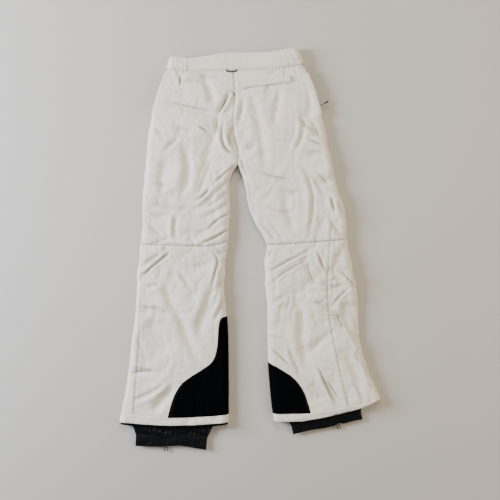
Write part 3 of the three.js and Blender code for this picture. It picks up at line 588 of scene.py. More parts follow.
def back_height(side, x, drop, lo, hi):
    d_lo, d_hi = np.maximum(x - lo, 0), np.maximum(hi - x, 0)
    d_out, d_in = (d_lo, d_hi) if side == "left" else (d_hi, d_lo)
    beside_zip = zip_zone(drop)
    round_out = np.sqrt(1 - (1 - np.clip(d_out / (20 - 14 * beside_zip), 0, 1)) ** 2)
    mid = MID + 15.2 * beside_zip * ease(-d_out, -60, -20)
    apart = ease(drop, CROTCH - 22, CROTCH + 26)
    round_in = np.sqrt(1 - (1 - np.clip(d_in / 20, 0, 1)) ** 2)
    roll = round_out * (1 - apart * (1 - round_in))
    crown = 2.0 * np.sin(np.pi * np.clip((x - lo) / (hi - lo), 0, 1)) - 1.5 * ease(drop, 640, 1030)
    free = np.clip(np.minimum(d_out, d_in + 60 * (1 - apart)) / 9, 0.15, 1)
    h = BACK + crown + relief(x, drop) * free
    if side == "right":
        tucked = x - np.interp(drop, *zip(*FLAP_EDGE))
        h -= 12 * ease(tucked, -1, 6) * ease(drop, 692, 722) * (1 - ease(drop, 838, 880))
    h = np.where(drop > 700, np.maximum(h, 21 - (8 if side == "right" else 0) * ease(drop, 700, 720)
                                        * (1 - ease(drop, 840, 880)) * ease(x, 275, 290)), h)
    h = np.where((drop < 130) & (drop > 40), np.minimum(h, 29.4 + 0.02 * (h - 29.4)), h)
    h = np.maximum(h, 20 + 8.0 * beside_zip * ease(-d_out, -26, -12))
    under = 1.0 + 0.9 * (1 + ripple(x, drop, 45, 77))
    under = np.maximum(under, 2.3 * (1 - ease(np.abs(x), 12, 22)) * (1 - ease(drop, 214, 236)))
    steep = roll + (np.sqrt(roll) - roll) * beside_zip
    return mid + (h - mid) * roll, mid - (mid - under) * steep


def columns(width, step):
    """Places across a leg, in mm from its left end, close together round the edges."""
    edge = ROLL * EDGE_STEPS
    inside = max(2, int(round((width.max() - 2 * ROLL) / step)))
    share = np.linspace(0, 1, inside + 1)[1:-1]
    middle_part = ROLL + share * (width[..., None] - 2 * ROLL)
    ones = np.ones(width.shape + (1,))
    return np.concatenate([edge * ones, middle_part, width[..., None] - edge[::-1] * ones], -1)


def leg_grid(side, start, end, step=STEP):
    """Ring of points (x, drop, height) between two curves; each curve gives a drop for an x."""
    count = max(3, int(round(np.mean(end(np.array([0.0])) - start(np.array([0.0]))) / step)) + 1)
    v = np.linspace(0, 1, count)
    rings = []
    for layer, spacing in (("back", step), ("front", step * FRONT_SPACING)):
        drop = start(np.zeros(1)) * (1 - v) + end(np.zeros(1)) * v
        lo, hi = edges_of(side, drop)
        places = columns(hi - lo, spacing)
        drop = np.repeat(drop[:, None], places.shape[1], 1)
        share = places / (hi - lo)[:, None]
        for _ in range(3):
            lo, hi = edges_of(side, drop, layer)
            edge_mm = np.minimum(places, (hi - lo) / 2)
            far_mm = (places[:, -1:] - places)
            x = np.where(share < 0.5, lo + edge_mm, hi - np.minimum(far_mm, (hi - lo) / 2))
            inner_part = (places > ROLL) & (far_mm > ROLL)
            stretch = (places - ROLL) / (places[:, -1:] - 2 * ROLL)
            x = np.where(inner_part, lo + ROLL + stretch * (hi - lo - 2 * ROLL), x)
            drop = start(x) * (1 - v[:, None]) + end(x) * v[:, None]
        top, bottom = back_height(side, x, drop, lo, hi)
        z = top if layer == "back" else bottom
        rings.append(np.stack([x, drop, z], -1))
    return np.concatenate([rings[0], rings[1][:, ::-1]], 1)


def waist_curve(x):
    return np.interp(x, waist_x, waist_drop)


def hem_curve(side, rise=0.0):
    return lambda x: np.interp(x, hem_x[side], hem_drop[side]) - rise


def knee_curve(side):
    points = np.array(SEAMS[f"knee_{side}"])
    return lambda x: np.interp(x, points[:, 0], points[:, 1])


thigh = {side: leg_grid(side, waist_curve, knee_curve(side)) for side in SIDES}
shank = {side: leg_grid(side, knee_curve(side), hem_curve(side)) for side in SIDES}
print({side: (thigh[side].shape, shank[side].shape) for side in SIDES})

# %% [markdown]
# One function turns a grid of points into a mesh with its own map, in metres along the
# cloth, and smooth faces. A second gives cloth its thickness inwards, with lining inside.
# %% Grids into cloth
SHELL_WALL = 1.4


def cloth_piece(name, grid, materials, ring=False, merge=False, painted_shade_amount=None):
    co = np.stack([grid[..., 0] * MM, TOP_Y - grid[..., 1] * MM, np.maximum(grid[..., 2], 0.3) * MM], -1)
    rows, cols = grid.shape[:2]
    index = np.arange(rows * cols).reshape(rows, cols)
    closed = np.concatenate([co, co[:, :1]], 1) if ring else co
    if ring:
        index = np.hstack([index, index[:, :1]])
    steps = np.linalg.norm(np.diff(closed, axis=1), axis=2)
    u = np.concatenate([np.zeros((rows, 1)), np.cumsum(steps, 1)], 1)
    v = np.cumsum(np.concatenate([np.zeros((1, closed.shape[1])),
                                  np.linalg.norm(np.diff(closed, axis=0), axis=2)], 0), 0)
    uv = np.stack([u - u.mean(1, keepdims=True), -v], -1)
    corner = [(slice(None, -1), slice(None, -1)), (slice(1, None), slice(None, -1)),
              (slice(1, None), slice(1, None)), (slice(None, -1), slice(1, None))]
    quads = np.stack([index[c] for c in corner], -1).reshape(-1, 4)
    loops = np.stack([uv[c] for c in corner], -2).reshape(-1, 2)
    mesh = bpy.data.meshes.new(name)
    mesh.from_pydata(co.reshape(-1, 3), [], quads.tolist())
    mesh.uv_layers.new(name="cloth").data.foreach_set("uv", loops.astype(np.float32).ravel())
    mesh.polygons.foreach_set("use_smooth", np.ones(len(quads), bool))
    for m in materials:
        mesh.materials.append(m)
    # Per-point amount of painted shade for the grooves of creases and seams, read by the shell material.
    mark = mesh.attributes.new("painted_groove_shade", "FLOAT", "POINT")
    painted_shade_amount = np.zeros(rows * cols) if painted_shade_amount is None else painted_shade_amount.ravel()
    mark.data.foreach_set("value", painted_shade_amount.astype(np.float32))
    obj = bpy.data.objects.new(name, mesh)
    bpy.context.scene.collection.objects.link(obj)
    if merge:
        join_doubles(obj)
    return obj


def join_doubles(obj, gap=0.05):
    work = bmesh.new()
    work.from_mesh(obj.data)
    bmesh.ops.remove_doubles(work, verts=work.verts, dist=gap * MM)
    work.to_mesh(obj.data)
    work.free()


def thicken(obj, thick):
    wall = obj.modifiers.new("wall", "SOLIDIFY")
    wall.thickness, wall.offset, wall.use_rim = thick * MM, -1, True
    wall.material_offset = 1 if len(obj.data.materials) > 1 else 0
    return obj


for side in SIDES:
    # Each leg carries its painted shade for creases and seams as a point attribute.
    upper = cloth_piece(f"thigh_{side}", thigh[side], (shell_cloth, lining), True, merge=True,
                        painted_shade_amount=painted_groove_shade(thigh[side][..., 0], thigh[side][..., 1]))
    thicken(upper, SHELL_WALL)
    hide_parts(f"back_shell_{side}", f"front_shell_{side}", f"back_fill_{side}",
                f"front_fill_{side}", f"lining_{side}", f"hand_pocket_bag_{side}")
    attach(upper, "root")
    lower = cloth_piece(f"lower_leg_{side}", shank[side], (shell_cloth, lining), True, merge=True,
                        painted_shade_amount=painted_groove_shade(shank[side][..., 0], shank[side][..., 1]))
    thicken(lower, SHELL_WALL)
    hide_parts(f"shin_back_shell_{side}", f"shin_front_shell_{side}", f"shin_back_fill_{side}",
                f"shin_front_fill_{side}", f"shin_lining_{side}")
    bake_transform(lower)
    print(side, len(upper.data.polygons), len(lower.data.polygons), "faces")

# %% [markdown]
# The inner ankle takes the ski edges, so it wears a black kick patch of a heavier weave. It
# is a second layer sewn over the first: the same surface, let out by a millimetre, cut
# to the patch's own edge in the CAD, and folded round the inseam onto the front.
# %% Kick patches
def let_out(grid, amount):
    world = grid * (1, -1, 1)
    normal = np.cross(np.gradient(world, axis=0), np.gradient(world, axis=1))
    normal /= np.linalg.norm(normal, axis=2, keepdims=True) + 1e-9
    amount = np.broadcast_to(np.asarray(amount, float), grid.shape[:2])[..., None]
    return (world + normal * amount) * (1, -1, 1)


kick_cloth = woven("black_ballistic_kick_patch", ("010203", "030405"), 0.85, 1.6, 0.10, 0.8,
                   Specular_IOR_Level=0.03)


def patch_grid(side, top, bottom, edge_of_patch, step=STEP):
    v = np.linspace(0, 1, int((bottom(0) - top) / step))
    edge = ROLL * EDGE_STEPS[::-1]
    turns = len(edge) - 1
    layers = []
    for spacing in (step, step * 1.7):
        inside = np.linspace(0, 1, int(130 / spacing))
        flat = len(inside)
        x = np.zeros((len(v), flat + turns))
        drop = np.repeat((top + (bottom(0) - top) * v)[:, None], x.shape[1], 1)
        for _ in range(3):
            lo, hi = edges_of(side, drop)
            inner, way = (hi, 1) if side == "left" else (lo, -1)
            start = edge_of_patch(drop)
            room = np.clip(np.abs(inner - start) / 34, 0, 1)
            turn_in = inner - way * ROLL * room
            x[:, :flat] = (start + (turn_in - start) * np.append(inside, np.zeros(turns)))[:, :flat]
            x[:, flat:] = (inner - way * room * np.append(np.zeros(flat), edge[1:]))[:, flat:]
            drop = top + (bottom(x) - top) * v[:, None]
        lo, hi = edges_of(side, drop)
        heights = back_height(side, x, drop, lo, hi)
        layers.append(np.stack([x, drop, heights[len(layers)]], -1))
    back, front = layers
    grid = np.concatenate([back, front[:, ::-1][:, 1:]], 1)
    return grid if side == "left" else grid[:, ::-1]


patches = {}
for side in SIDES:
    lo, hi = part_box(f"kick_patch_{side}")
    levels = np.arange((TOP_Y - hi.y) / MM + 0.4, (TOP_Y - lo.y) / MM - 1, 2.0)
    cut = side_lines([f"kick_patch_{side}"], levels)[:, 0 if side == "left" else 1]
    cut = smooth(cut, 3)
    grid = patch_grid(side, levels[0], hem_curve(side, 21), lambda d, a=levels, b=cut: np.interp(d, a, b))
    patches[side] = grid
    patch = thicken(cloth_piece(f"kick_patch_cloth_{side}", let_out(grid, 1.0), (kick_cloth,)), 0.8)
    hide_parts(f"kick_patch_{side}")
    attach(patch, f"shin_{side}")
    print(side, "kick patch", grid.shape, "edge mm", [round(float(c)) for c in cut[::30]])

# %% [markdown]
# The hem is turned up and stitched, so it is a band a little thicker than the leg. Inside it
# is a facing of gaiter cloth; on the left leg it hangs eight millimetres below the hem.
# %% Hem bands and facings
gaiter_cloth = woven("navy_black_coated_nylon_gaiter", ("020407", "05080C"), 0.52, 0.9, 0.04, 2.2,
                     Specular_IOR_Level=0.12)
FACING_BELOW = {"left": 8.0, "right": -1.5}
for side in SIDES:
    band = leg_grid(side, hem_curve(side, 22), hem_curve(side, -0.4), step=2.2)
    band = thicken(cloth_piece(f"hem_turn_up_{side}", let_out(band, 0.9), (shell_cloth, lining), True), 1.6)
    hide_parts(f"hem_band_{side}")
    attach(band, f"shin_{side}")
    inside = leg_grid(side, hem_curve(side, 42), hem_curve(side, -FACING_BELOW[side]), step=4)
    inside[..., 2] = MID + (inside[..., 2] - MID) * 0.84
    inside = cloth_piece(f"hem_facing_cloth_{side}", let_out(inside, -2.2), (gaiter_cloth,), True)
    thicken(inside, 0.6)
    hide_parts(f"hem_facing_{side}")
    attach(inside, f"shin_{side}")
    print(side, "hem band and facing", len(band.data.polygons), len(inside.data.polygons), "faces")

# %% [markdown]
# The snow gaiter is a sleeve of coated nylon with a wide elastic at its foot. Elastic pulls
# cloth into upright gathers: round ridges with sharp valleys, closest together on the band
# and easing out above it. It leans with its leg, so it is laid out in its own frame, turned
# by that lean, and measured there.
# %% Gaiters
LEAN = {"left": math.radians(-3), "right": math.radians(12)}
CUFF_WAVE = {"left": [(0, 3), (0.38, 1.5), (0.62, -5), (0.84, 0), (1, 3)],
             "right": [(0, 0.5), (0.25, -1), (0.45, 1.5), (0.7, 1), (0.9, -1.5), (1, 0)]}


def sleeve(name, side, lean, z_low, z_high, wave, shape, step_u=1.8, step_v=2.5):
    """Flat tube measured from a CAD node in a frame turned by its leg's lean."""
    c, s = math.cos(lean), math.sin(lean)
    co = np.array([v.co[:2] for v in node[name].data.vertices])
    up = (co @ np.array([-s, c]))
    levels = np.linspace(up.max() - 1e-4, up.min() + 1e-4, int((up.max() - up.min()) / MM / step_v))
    ends = side_lines([name], (TOP_Y - levels) / MM, lean)
    width = (ends[:, 1] - ends[:, 0]).max()
    share = np.linspace(0, 1, int(width / step_u))
    bow = (z_high - z_low) / 2
    places = np.sin((share - 0.5) * np.pi) * 0.5 + 0.5
    places = 0.25 * places + 0.75 * share
    drop_v = np.linspace(0, 1, len(levels))[:, None]
    rings = []
    for layer in (1, -1):
        x = ends[:, :1] + (ends[:, 1:] - ends[:, :1]) * places
        edge = np.minimum(x - ends[:, :1], ends[:, 1:] - x)
        roll = np.sqrt(1 - (1 - np.clip(edge / (bow * 1.1), 0, 1)) ** 2)
        extra, slip = shape(x, drop_v * (levels[0] - levels[-1]) / MM, layer)
        z = (z_low + z_high) / 2 + layer * (bow + extra) * roll
        y = (levels / MM)[:, None] - slip - np.interp(places, *zip(*wave)) * drop_v ** 2
        rings.append(np.stack([c * x - s * y, TOP_Y / MM - (s * x + c * y), z], -1))
    return np.concatenate([rings[0], rings[1][:, ::-1]], 1)


CUFF_SHOWS = {"left": 66, "right": 46}  # mm of cuff below the hem
CUFF_BAND = {"left": 34, "right": 26}  # mm of wide elastic at its foot
CUFF_GATHER = {"left": 2.4, "right": 1.4}  # mm of relief in the gathers
GATHER_PITCH = 6.5
CUFF_HEIGHTS = (7.8, 15.0)  # it has to slide up inside the hem facing, and meet its hook


def cuff_shape(side):
    band, strength = CUFF_BAND[side], CUFF_GATHER[side]

    def shape(x, down, layer):
        long = down.max()
        on_band = ease(down, long - band - 10, long - band + 4)
        seed = 90 + layer + (0 if side == "left" else 20)
        tight = gathers(x + 0.6 * ripple(x, down + 0 * x, 20, seed), GATHER_PITCH, seed) - 0.6
        loose = gathers(x * 0.9 + 5 * ripple(x, down + 0 * x, 34, seed + 4), 15, seed + 2, 1.2) - 0.6
        rows = 0.25 * np.cos(2 * np.pi * (down - long) / 9.5) * on_band
        h = strength * (on_band * tight * (0.75 + 0.3 * rows) + (1 - on_band) * 1.7 * loose)
        h += 1.2 * strength * crumple(x, down * 1.3 + 0 * x, 30, seed + 7) * (1 - 0.8 * on_band)
        h -= 0.9 * np.exp(-((down - (long - band)) / 2.0) ** 2) + 0.9 * ease(down, long - 3, long)
        out = ease(down, long - CUFF_SHOWS[side] - 16, long - CUFF_SHOWS[side] + 4)
        tall, deep = (0.9, 3.2) if layer > 0 else (0.2, 1.4)
        h = 1.5 * h - 1.2
        h = np.where(h > 0, tall * np.tanh(h / tall), deep * np.tanh(h / deep)) * out - (1 - out)
        slip = 0.5 * strength * (gathers(x, GATHER_PITCH, seed) - 0.6) * ease(down, long - 6, long)
        return h, slip

    return shape


def skirt_shape(x, down, layer):
    return 0.8 * crumple(x, down + 0 * x, 40, 140 + layer) - 0.8, 0 * x


for side in SIDES:
    grid = sleeve(f"gaiter_cuff_{side}", side, LEAN[side], *CUFF_HEIGHTS, CUFF_WAVE[side], cuff_shape(side))
    hook_lo, hook_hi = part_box(f"lace_hook_{side}")
    near = np.exp(-((grid[..., 0] - (hook_lo.x + hook_hi.x) / 2 / MM) / 10) ** 4)
    past = (grid[-1, :, 1] - (TOP_Y - hook_hi.y) / MM)[near[-1] > 0.5].max() + 0.6
    grid[..., 1] -= near * max(past, 0) * ease(np.linspace(0, 1, len(grid)), 0.75, 1)[:, None]
    print(side, "cuff edge drawn up by", round(float(past), 1), "mm where its hook swings")
    cuff = thicken(cloth_piece(f"gaiter_cuff_cloth_{side}", grid, (gaiter_cloth,), True), 0.7)
    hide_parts(f"gaiter_cuff_{side}")
    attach(cuff, f"gaiter_{side}")
    lo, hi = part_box(f"gaiter_skirt_{side}")
    grid = sleeve(f"gaiter_skirt_{side}", side, LEAN[side], 6.5, 15.0, [(0, 0), (1, 0)], skirt_shape, 5, 5)
    skirt = thicken(cloth_piece(f"gaiter_skirt_cloth_{side}", grid, (gaiter_cloth,), True), 0.5)
    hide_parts(f"gaiter_skirt_{side}")
    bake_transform(skirt)
    print(side, "gaiter", len(cuff.data.polygons), len(skirt.data.polygons), "faces")

# %% [markdown]
# The waistband is a folded strip, about fifty millimetres high. Its middle is flat and only
# creases along its length; its two ends hold elastic, so they gather, and their top edge
# frills. The strip runs over the top edge and down inside, so it is one open sheet whose
# rows go up the outside, round the fold and down the inside.
# %% Waistband
band_nodes = ["waistband_back", "waistband_side_left", "waistband_side_right"]
top_x = np.arange(-189, 167, 4.0)
top_drop = smooth(filled(top_x, upright_cuts(band_nodes, top_x, False)), 5)
ELASTIC = {"left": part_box("waistband_side_left")[1].x / MM,
           "right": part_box("waistband_side_right")[0].x / MM}
BAND_WALL, BAND_TOP, BAND_ROLL, BAND_PITCH = 3.0, 29.0, 14, 7.6
FOLD_ROWS = [(1.0, 0), (1.015, -0.35), (1.022, -1.0), (1.02, -1.8), (1.005, -2.6), (0.97, -BAND_WALL),
             (0.8, -BAND_WALL), (0.5, -BAND_WALL), (0.25, -BAND_WALL), (0.04, -BAND_WALL)]


def elastic_share(x):
    left, right = ELASTIC["left"], ELASTIC["right"]
    return 1 - ease(x, left - 4, left + 3) + ease(x, right - 3, right + 4)


def band_ends(v):
    left = np.interp(v, (0, 1), (waist_x[0] - 1.0, top_x[0] - 1.0))
    right = np.interp(v, (0, 1), (waist_x[-1] + 5.0, top_x[-1] + 2.0))
    return left, right


def band_grid():
    v = np.concatenate([np.linspace(-0.02, 0.985, 20), [f[0] for f in FOLD_ROWS]])
    inward = np.concatenate([np.zeros(20), [f[1] for f in FOLD_ROWS]])
    lo, hi = band_ends(v)
    layers = []
    for layer, step in (("back", 1.6), ("front", 2.4)):
        edge = BAND_ROLL * np.array([0, 0.03, 0.1, 0.2, 0.33, 0.5, 0.7, 1.0])
        inside = np.linspace(BAND_ROLL, (hi - lo).max() - BAND_ROLL, int(330 / step))[1:-1]
        share = np.concatenate([edge, inside, (hi - lo).max() - edge[::-1]]) / (hi - lo).max()
        x = lo[:, None] + (hi - lo)[:, None] * share
        d_edge = np.minimum(x - lo[:, None], hi[:, None] - x)
        roll = np.sqrt(1 - (1 - np.clip(d_edge / BAND_ROLL, 0, 1)) ** 2)
        gather = elastic_share(x)
        seed = 200 if layer == "back" else 230
        slant = x + 5 * (v[:, None] - 0.5) * ripple(x, 0 * x, 30, seed + 1)
        ridge = gathers(slant, BAND_PITCH, seed) - 0.55
        strength = np.where(x > 0, 4.2, 3.0) * np.sin(np.pi * np.clip(v, 0.08, 0.92))[:, None] ** 0.5
        h = gather * strength * ridge
        calm = np.clip(np.minimum(v - 0.09, 0.97 - v) / 0.12, 0, 1)[:, None]
        flat = 1.3 * crumple(x * 0.3, v[:, None] * 50, 20, seed + 3)
        for n, level in enumerate((0.24, 0.38, 0.52, 0.68, 0.82)):
            meander = level + 0.07 * ripple(x, 0 * x, 36, seed + 11 + n)
            shown = np.clip(1.4 * ripple(x, 0 * x + 3, 60, seed + 17 + n) + 0.4, 0, 1)
            flat = flat - 2.6 * shown * np.exp(-((v[:, None] - meander) / 0.055) ** 2)
        h += (1 - gather) * calm * flat
        h -= 1.5 * np.exp(-(v / 0.05) ** 2)[:, None]
        frill = gather * (4.0 * (gathers(x, BAND_PITCH, seed) - 0.5)) * np.clip(v, 0, 1)[:, None] ** 3
        seam, top = waist_curve(x), np.interp(x, top_x, top_drop)
        drop = seam + (top - seam) * v[:, None] - frill
        thick = MID + (BAND_TOP - MID + h) * roll
        z = thick if layer == "back" else MID - (MID - 1.6 - np.abs(h) * 0.4) * roll
        layers.append(np.stack([x, drop, z], -1))
    back, front = layers
    ring = np.concatenate([back, front[:, ::-1][:, 1:-1]], 1)
    return let_out(ring[::-1], inward[::-1][:, None])


ring = band_grid()
x_mid = ring[-1, :, 0]
on_back = np.arange(ring.shape[1]) < int(np.argmax(x_mid)) + 1
flat_part = (x_mid > ELASTIC["left"] - 0.5) & (x_mid < ELASTIC["right"] + 0.5)
sections = {
    "waistband_middle": (on_back & flat_part, ["waistband_back"]),
    "waistband_elastic_left": (x_mid <= ELASTIC["left"] + 1.6,
                               ["waistband_side_left", "waist_elastic_left"]),
    "waistband_elastic_right": (x_mid >= ELASTIC["right"] - 1.6,
                                ["waistband_side_right", "waist_elastic_right"]),
}
for name, (keep, gone) in sections.items():
    where = np.flatnonzero(keep)
    if name == "waistband_elastic_left":  # the ring starts here, so its front part comes first
        where = np.concatenate([where[where > len(x_mid) / 2], where[where <= len(x_mid) / 2]])
    made = cloth_piece(name, ring[:, where], (shell_cloth,))
    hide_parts(*gone)
    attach(made, "root")
    print(name, ring[:, where].shape)

# %% [markdown]
# The right back pocket closes under a narrow welt, sewn along its upper edge and free along
# the lower one. It is a flat strip with a rolled edge, a little wavy from wear, so that it
# throws the dark line that marks a pocket from across a room.
# %% Back pocket welt
flap_lo, flap_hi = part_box("back_pocket_flap")
FLAP_LEAN, FLAP_HALF, FLAP_HEIGHT = math.radians(8), 69, 18
flap_mid = (flap_lo + flap_hi) / 2 / MM


def welt_grid():
    u = np.linspace(-FLAP_HALF, FLAP_HALF, 70)
    v = np.concatenate([[-0.2, 0, 0.25, 0.6], np.linspace(1.2, 16.8, 12), [17.4, 17.8, 18.0]])
    under = np.array([17.8, 17.2, 14, 8, 3])
    along = u[None] + 0 * v[:, None]
    wave = 0.9 * ripple(along, 0 * along, 46, 301) * (v[:, None] / FLAP_HEIGHT) ** 2
    lift = 0.5 * crumple(along, v[:, None] * 2 + 0 * along, 30, 303) * ease(v[:, None], 1, 6)
    crown = 1.6 * np.sqrt(np.clip(1 - (np.abs(v[:, None] - 9) / 9.4) ** 4, 0, 1))
    stitched = (-0.5 * np.exp(-((v[:, None] - 3.2) / 0.8) ** 2)
                - 0.35 * np.exp(-((v[:, None] - 14.8) / 0.8) ** 2))
    top = 31.6 + crown + lift + stitched
    low = np.full((len(under), len(u)), 31.4)
    z = np.concatenate([top, low])
    down = np.concatenate([np.repeat(v[:, None], len(u), 1) + wave, np.repeat(under[:, None], len(u), 1)])
    c, s = math.cos(FLAP_LEAN), math.sin(FLAP_LEAN)
    across = np.repeat(u[None], len(z), 0)
    down = down - 9
    x = flap_mid.x + c * across + s * down
    y = flap_mid.y + s * across - c * down
    return np.stack([x, TOP_Y / MM - y, z], -1)


welt = cloth_piece("back_pocket_welt", welt_grid(), (shell_cloth,))
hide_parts("back_pocket_flap")
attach(welt, "pocket_flap")
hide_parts("back_pocket_bag")
print("welt", len(welt.data.polygons), "faces")

# %% [markdown]
# Small hard parts keep their CAD shapes and take finishes of their own: blackened zinc
# sliders, nickel-plated hooks and snaps, black woven zip tape, and the brushed pads of a hook
# and loop fastener. The cord pulls and the hanger take waxed cord and woven webbing. Their
# patterns read Object coordinates.
# %% Hardware finishes
def fine_finish(name, tones, roughness, grain, depth, stretch=(1, 1, 1), **shader):
    made, tree, bsdf = material(name, roughness, **shader)
    place = add(tree, "ShaderNodeMapping", {"Vector": add(tree, "ShaderNodeTexCoord").outputs["Object"]},
                in_3=stretch)
    cloud = add(tree, "ShaderNodeTexNoise", {"Vector": place.outputs[0]},
                in_Scale=1 / (grain * MM), in_Detail=5.0)
    worn = add(tree, "ShaderNodeMix", {"Factor": cloud.outputs["Fac"]}, data_type="RGBA",
               in_6=colour(tones[0]), in_7=colour(tones[1]))
    tree.links.new(worn.outputs[2], bsdf.inputs["Base Color"])
    rough = add(tree, "ShaderNodeMapRange", {"Value": cloud.outputs["Fac"]},
                in_3=roughness - 0.1, in_4=roughness + 0.1)
    tree.links.new(rough.outputs["Result"], bsdf.inputs["Roughness"])
    bump = add(tree, "ShaderNodeBump", {"Height": cloud.outputs["Fac"]},
               in_Strength=0.6, in_Distance=depth * MM)
    tree.links.new(bump.outputs["Normal"], bsdf.inputs["Normal"])
    return made


zinc = fine_finish("blackened_zinc_die_cast", ("1B1C1E", "2A2B2D"), 0.34, 1.2, 0.03, Metallic=1.0)
nickel = fine_finish("dark_nickel_plated_brass", ("5C5A57", "77746F"), 0.28, 0.8, 0.02, Metallic=1.0)
tape = fine_finish("black_woven_zip_tape", ("101114", "1B1C20"), 0.7, 0.6, 0.12, (1, 0.25, 1))
cord = fine_finish("black_waxed_cord", ("0D0D0F", "1A1A1C"), 0.5, 0.8, 0.15, (1, 3, 1))
webbing = fine_finish("black_woven_webbing", ("0C0C0E", "17181A"), 0.65, 0.7, 0.15, (0.3, 1, 1))
pads = fine_finish("brushed_hook_and_loop", ("BDB9AE", "9E9A90"), 0.95, 0.9, 0.4)
stone_hard = fine_finish("stone_cloth_edge", ("D6D2C8", "CBC7BB"), 0.75, 1.0, 0.08)
FINISHES = {
    zinc: ("hand_pocket_slider_left", "hand_pocket_slider_right", "fly_slider", "fly_pull"),
    nickel: ("lace_hook_left", "lace_hook_right", "snap_stud", "snap_socket"),
    tape: ("hand_pocket_zip_left", "hand_pocket_zip_right", "fly_zip_chain"),
    pads: ("back_pocket_loop_patch", "back_pocket_hook_patch"),
    stone_hard: ("fly_underlap",),
}
for finish, names in FINISHES.items():
    for name in names:
        node[name].data.materials.clear()
        node[name].data.materials.append(finish)
print(sum(len(names) for names in FINISHES.values()), "CAD nodes refinished")

# %% [markdown]
# The front halves of the waistband and its tab lie underneath, flat on the floor. They are
# the same folded strip, so they are short sheets with a soft roll at their long edges.
# %% Waistband fronts and tab
def front_strip(x0, x1, z, short):
    x = np.linspace(x0, x1, int((x1 - x0) / 3) + 2)
    v = np.concatenate([[0, 0.01, 0.03], np.linspace(0.08, 0.92, 14), [0.97, 0.99, 1.0]])[:, None]
    seam, top = waist_curve(x), np.interp(x, top_x, top_drop) + short
    drop = seam + (top - seam) * v
    roll = np.sqrt(np.clip(1 - (np.abs(v - 0.5) * 2) ** 8, 0, 1))
    h = z + (0.5 + 0.3 * crumple(x + 0 * v, drop * 1.5, 16, 320)) * roll
    return np.stack([x + 0 * v, drop, h], -1)[::-1]


FRONTS = {"waistband_front_left": ("root", 1.8), "waistband_front_right": ("root", 1.0),
          "waist_tab": ("waist_tab", 0.9)}
for name, (body, z) in FRONTS.items():
    lo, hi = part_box(name)
    strip = cloth_piece(name + "_cloth", front_strip(lo.x / MM, hi.x / MM, z, 2.5), (shell_cloth,))
    thicken(strip, 0.7)
    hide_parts(name)
    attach(strip, body)
    print(name, len(strip.data.polygons), "faces")

# %% [markdown]
# The hanger is a short bar of black webbing caught in the waist seam at the centre back, and
# each pocket slider carries a pull: a cord with a moulded grip on its end. All three are
# tubes swept along a few points, with flattened or swelling sections.
# %% Hanger and zip pulls
def swept(name, path, radii, flat, finish, sides=10):
    path = np.asarray(path, float)
    tangent = np.gradient(path, axis=0)
    tangent /= np.linalg.norm(tangent, axis=1, keepdims=True)
    side_way = np.cross(tangent, (0, 0, 1))
    side_way /= np.linalg.norm(side_way, axis=1, keepdims=True)
    up_way = np.cross(side_way, tangent)
    turn = np.linspace(0, 2 * np.pi, sides, endpoint=False)
    radii = np.asarray(radii, float)[:, None, None]
    ring_co = (path[:, None] + radii * (np.cos(turn)[None, :, None] * side_way[:, None]
               + flat * np.sin(turn)[None, :, None] * up_way[:, None]))
    grid = ring_co * (1, -1, 1) + (0, TOP_Y / MM, 0)
    made = cloth_piece(name, grid, (finish,), True)
    work = bmesh.new()
    work.from_mesh(made.data)
    work.verts.ensure_lookup_table()
    for row in (0, len(path) - 1):
        work.faces.new([work.verts[row * sides + k] for k in range(sides)])
    bmesh.ops.recalc_face_normals(work, faces=work.faces)
    work.to_mesh(made.data)
    work.free()
    return made


def run(points, count):
    line = round_off(points, 3)
    gap = np.concatenate([[0], np.cumsum(np.linalg.norm(np.diff(line, axis=0), axis=1))])
    return np.stack([np.interp(np.linspace(0, gap[-1], count), gap, line[:, k]) for k in range(3)], 1)


lo, hi = (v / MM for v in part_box("locker_loop"))
bar_y = hi.y - 3.2
bar = run([(lo.x + 2.6, hi.y + 2, 29.6), (lo.x + 3.0, bar_y + 0.6, 30.8), (lo.x + 7, bar_y - 0.4, 31.0),
           (hi.x - 7, bar_y - 0.2, 31.0), (hi.x - 3.0, bar_y + 0.6, 30.8), (hi.x - 2.6, hi.y + 2, 29.6)], 34)
hanger = swept("hanger_webbing", bar, np.full(34, 1.9), 0.42, webbing)
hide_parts("locker_loop")
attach(hanger, "locker_loop")

PULL_POINTS = 30
PULLS = {"left": ((0.15, 0.1), (0.4, 0.35), (0.6, 0.7), (0.8, 0.98)),
         "right": ((0.09, 0.06), (0.35, 0.2), (0.65, 0.34), (1.0, 0.62))}
for side in SIDES:
    lo, hi = (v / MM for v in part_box(f"hand_pocket_pull_{side}"))
    size = hi - lo
    z = (lo.z + hi.z) / 2
    if side == "left":
        points = [(hi.x - size.x * a, hi.y - 2 - size.y * b * 0.94, z) for a, b in PULLS[side]]
    else:
        points = [(lo.x + size.x * a, lo.y + size.y * b, z) for a, b in PULLS[side]]
    line = run(points, PULL_POINTS)
    t = np.linspace(0, 1, PULL_POINTS)
    radii = 0.95 + 1.15 * ease(t, 0.45, 0.6) - 1.5 * ease(t, 0.94, 1.0)
    pull = swept(f"pocket_pull_cord_{side}", line, radii, 0.8, cord)
    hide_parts(f"hand_pocket_pull_{side}")
    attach(pull, f"pocket_pull_{side}")
    print(side, "pull from", line[0].round(), "to", line[-1].round())

# %% [markdown]
# Topstitching runs beside every seam in two rows. Hundreds of equal stitches along a line
# are what Geometry Nodes are for: one tree resamples the line at the stitch pitch, sets a
# small rounded thread at each point, turned along the line, and makes it real mesh.
# A real stitch is 3 mm long; these are drawn at 6.5 mm so that the rows show from above.
# %% Stitch tree
thread = fine_finish("stone_polyester_thread", ("B9B2A3", "A8A192"), 0.6, 0.5, 0.05)
dark_thread = fine_finish("black_polyester_thread", ("16171A", "202226"), 0.5, 0.5, 0.05)


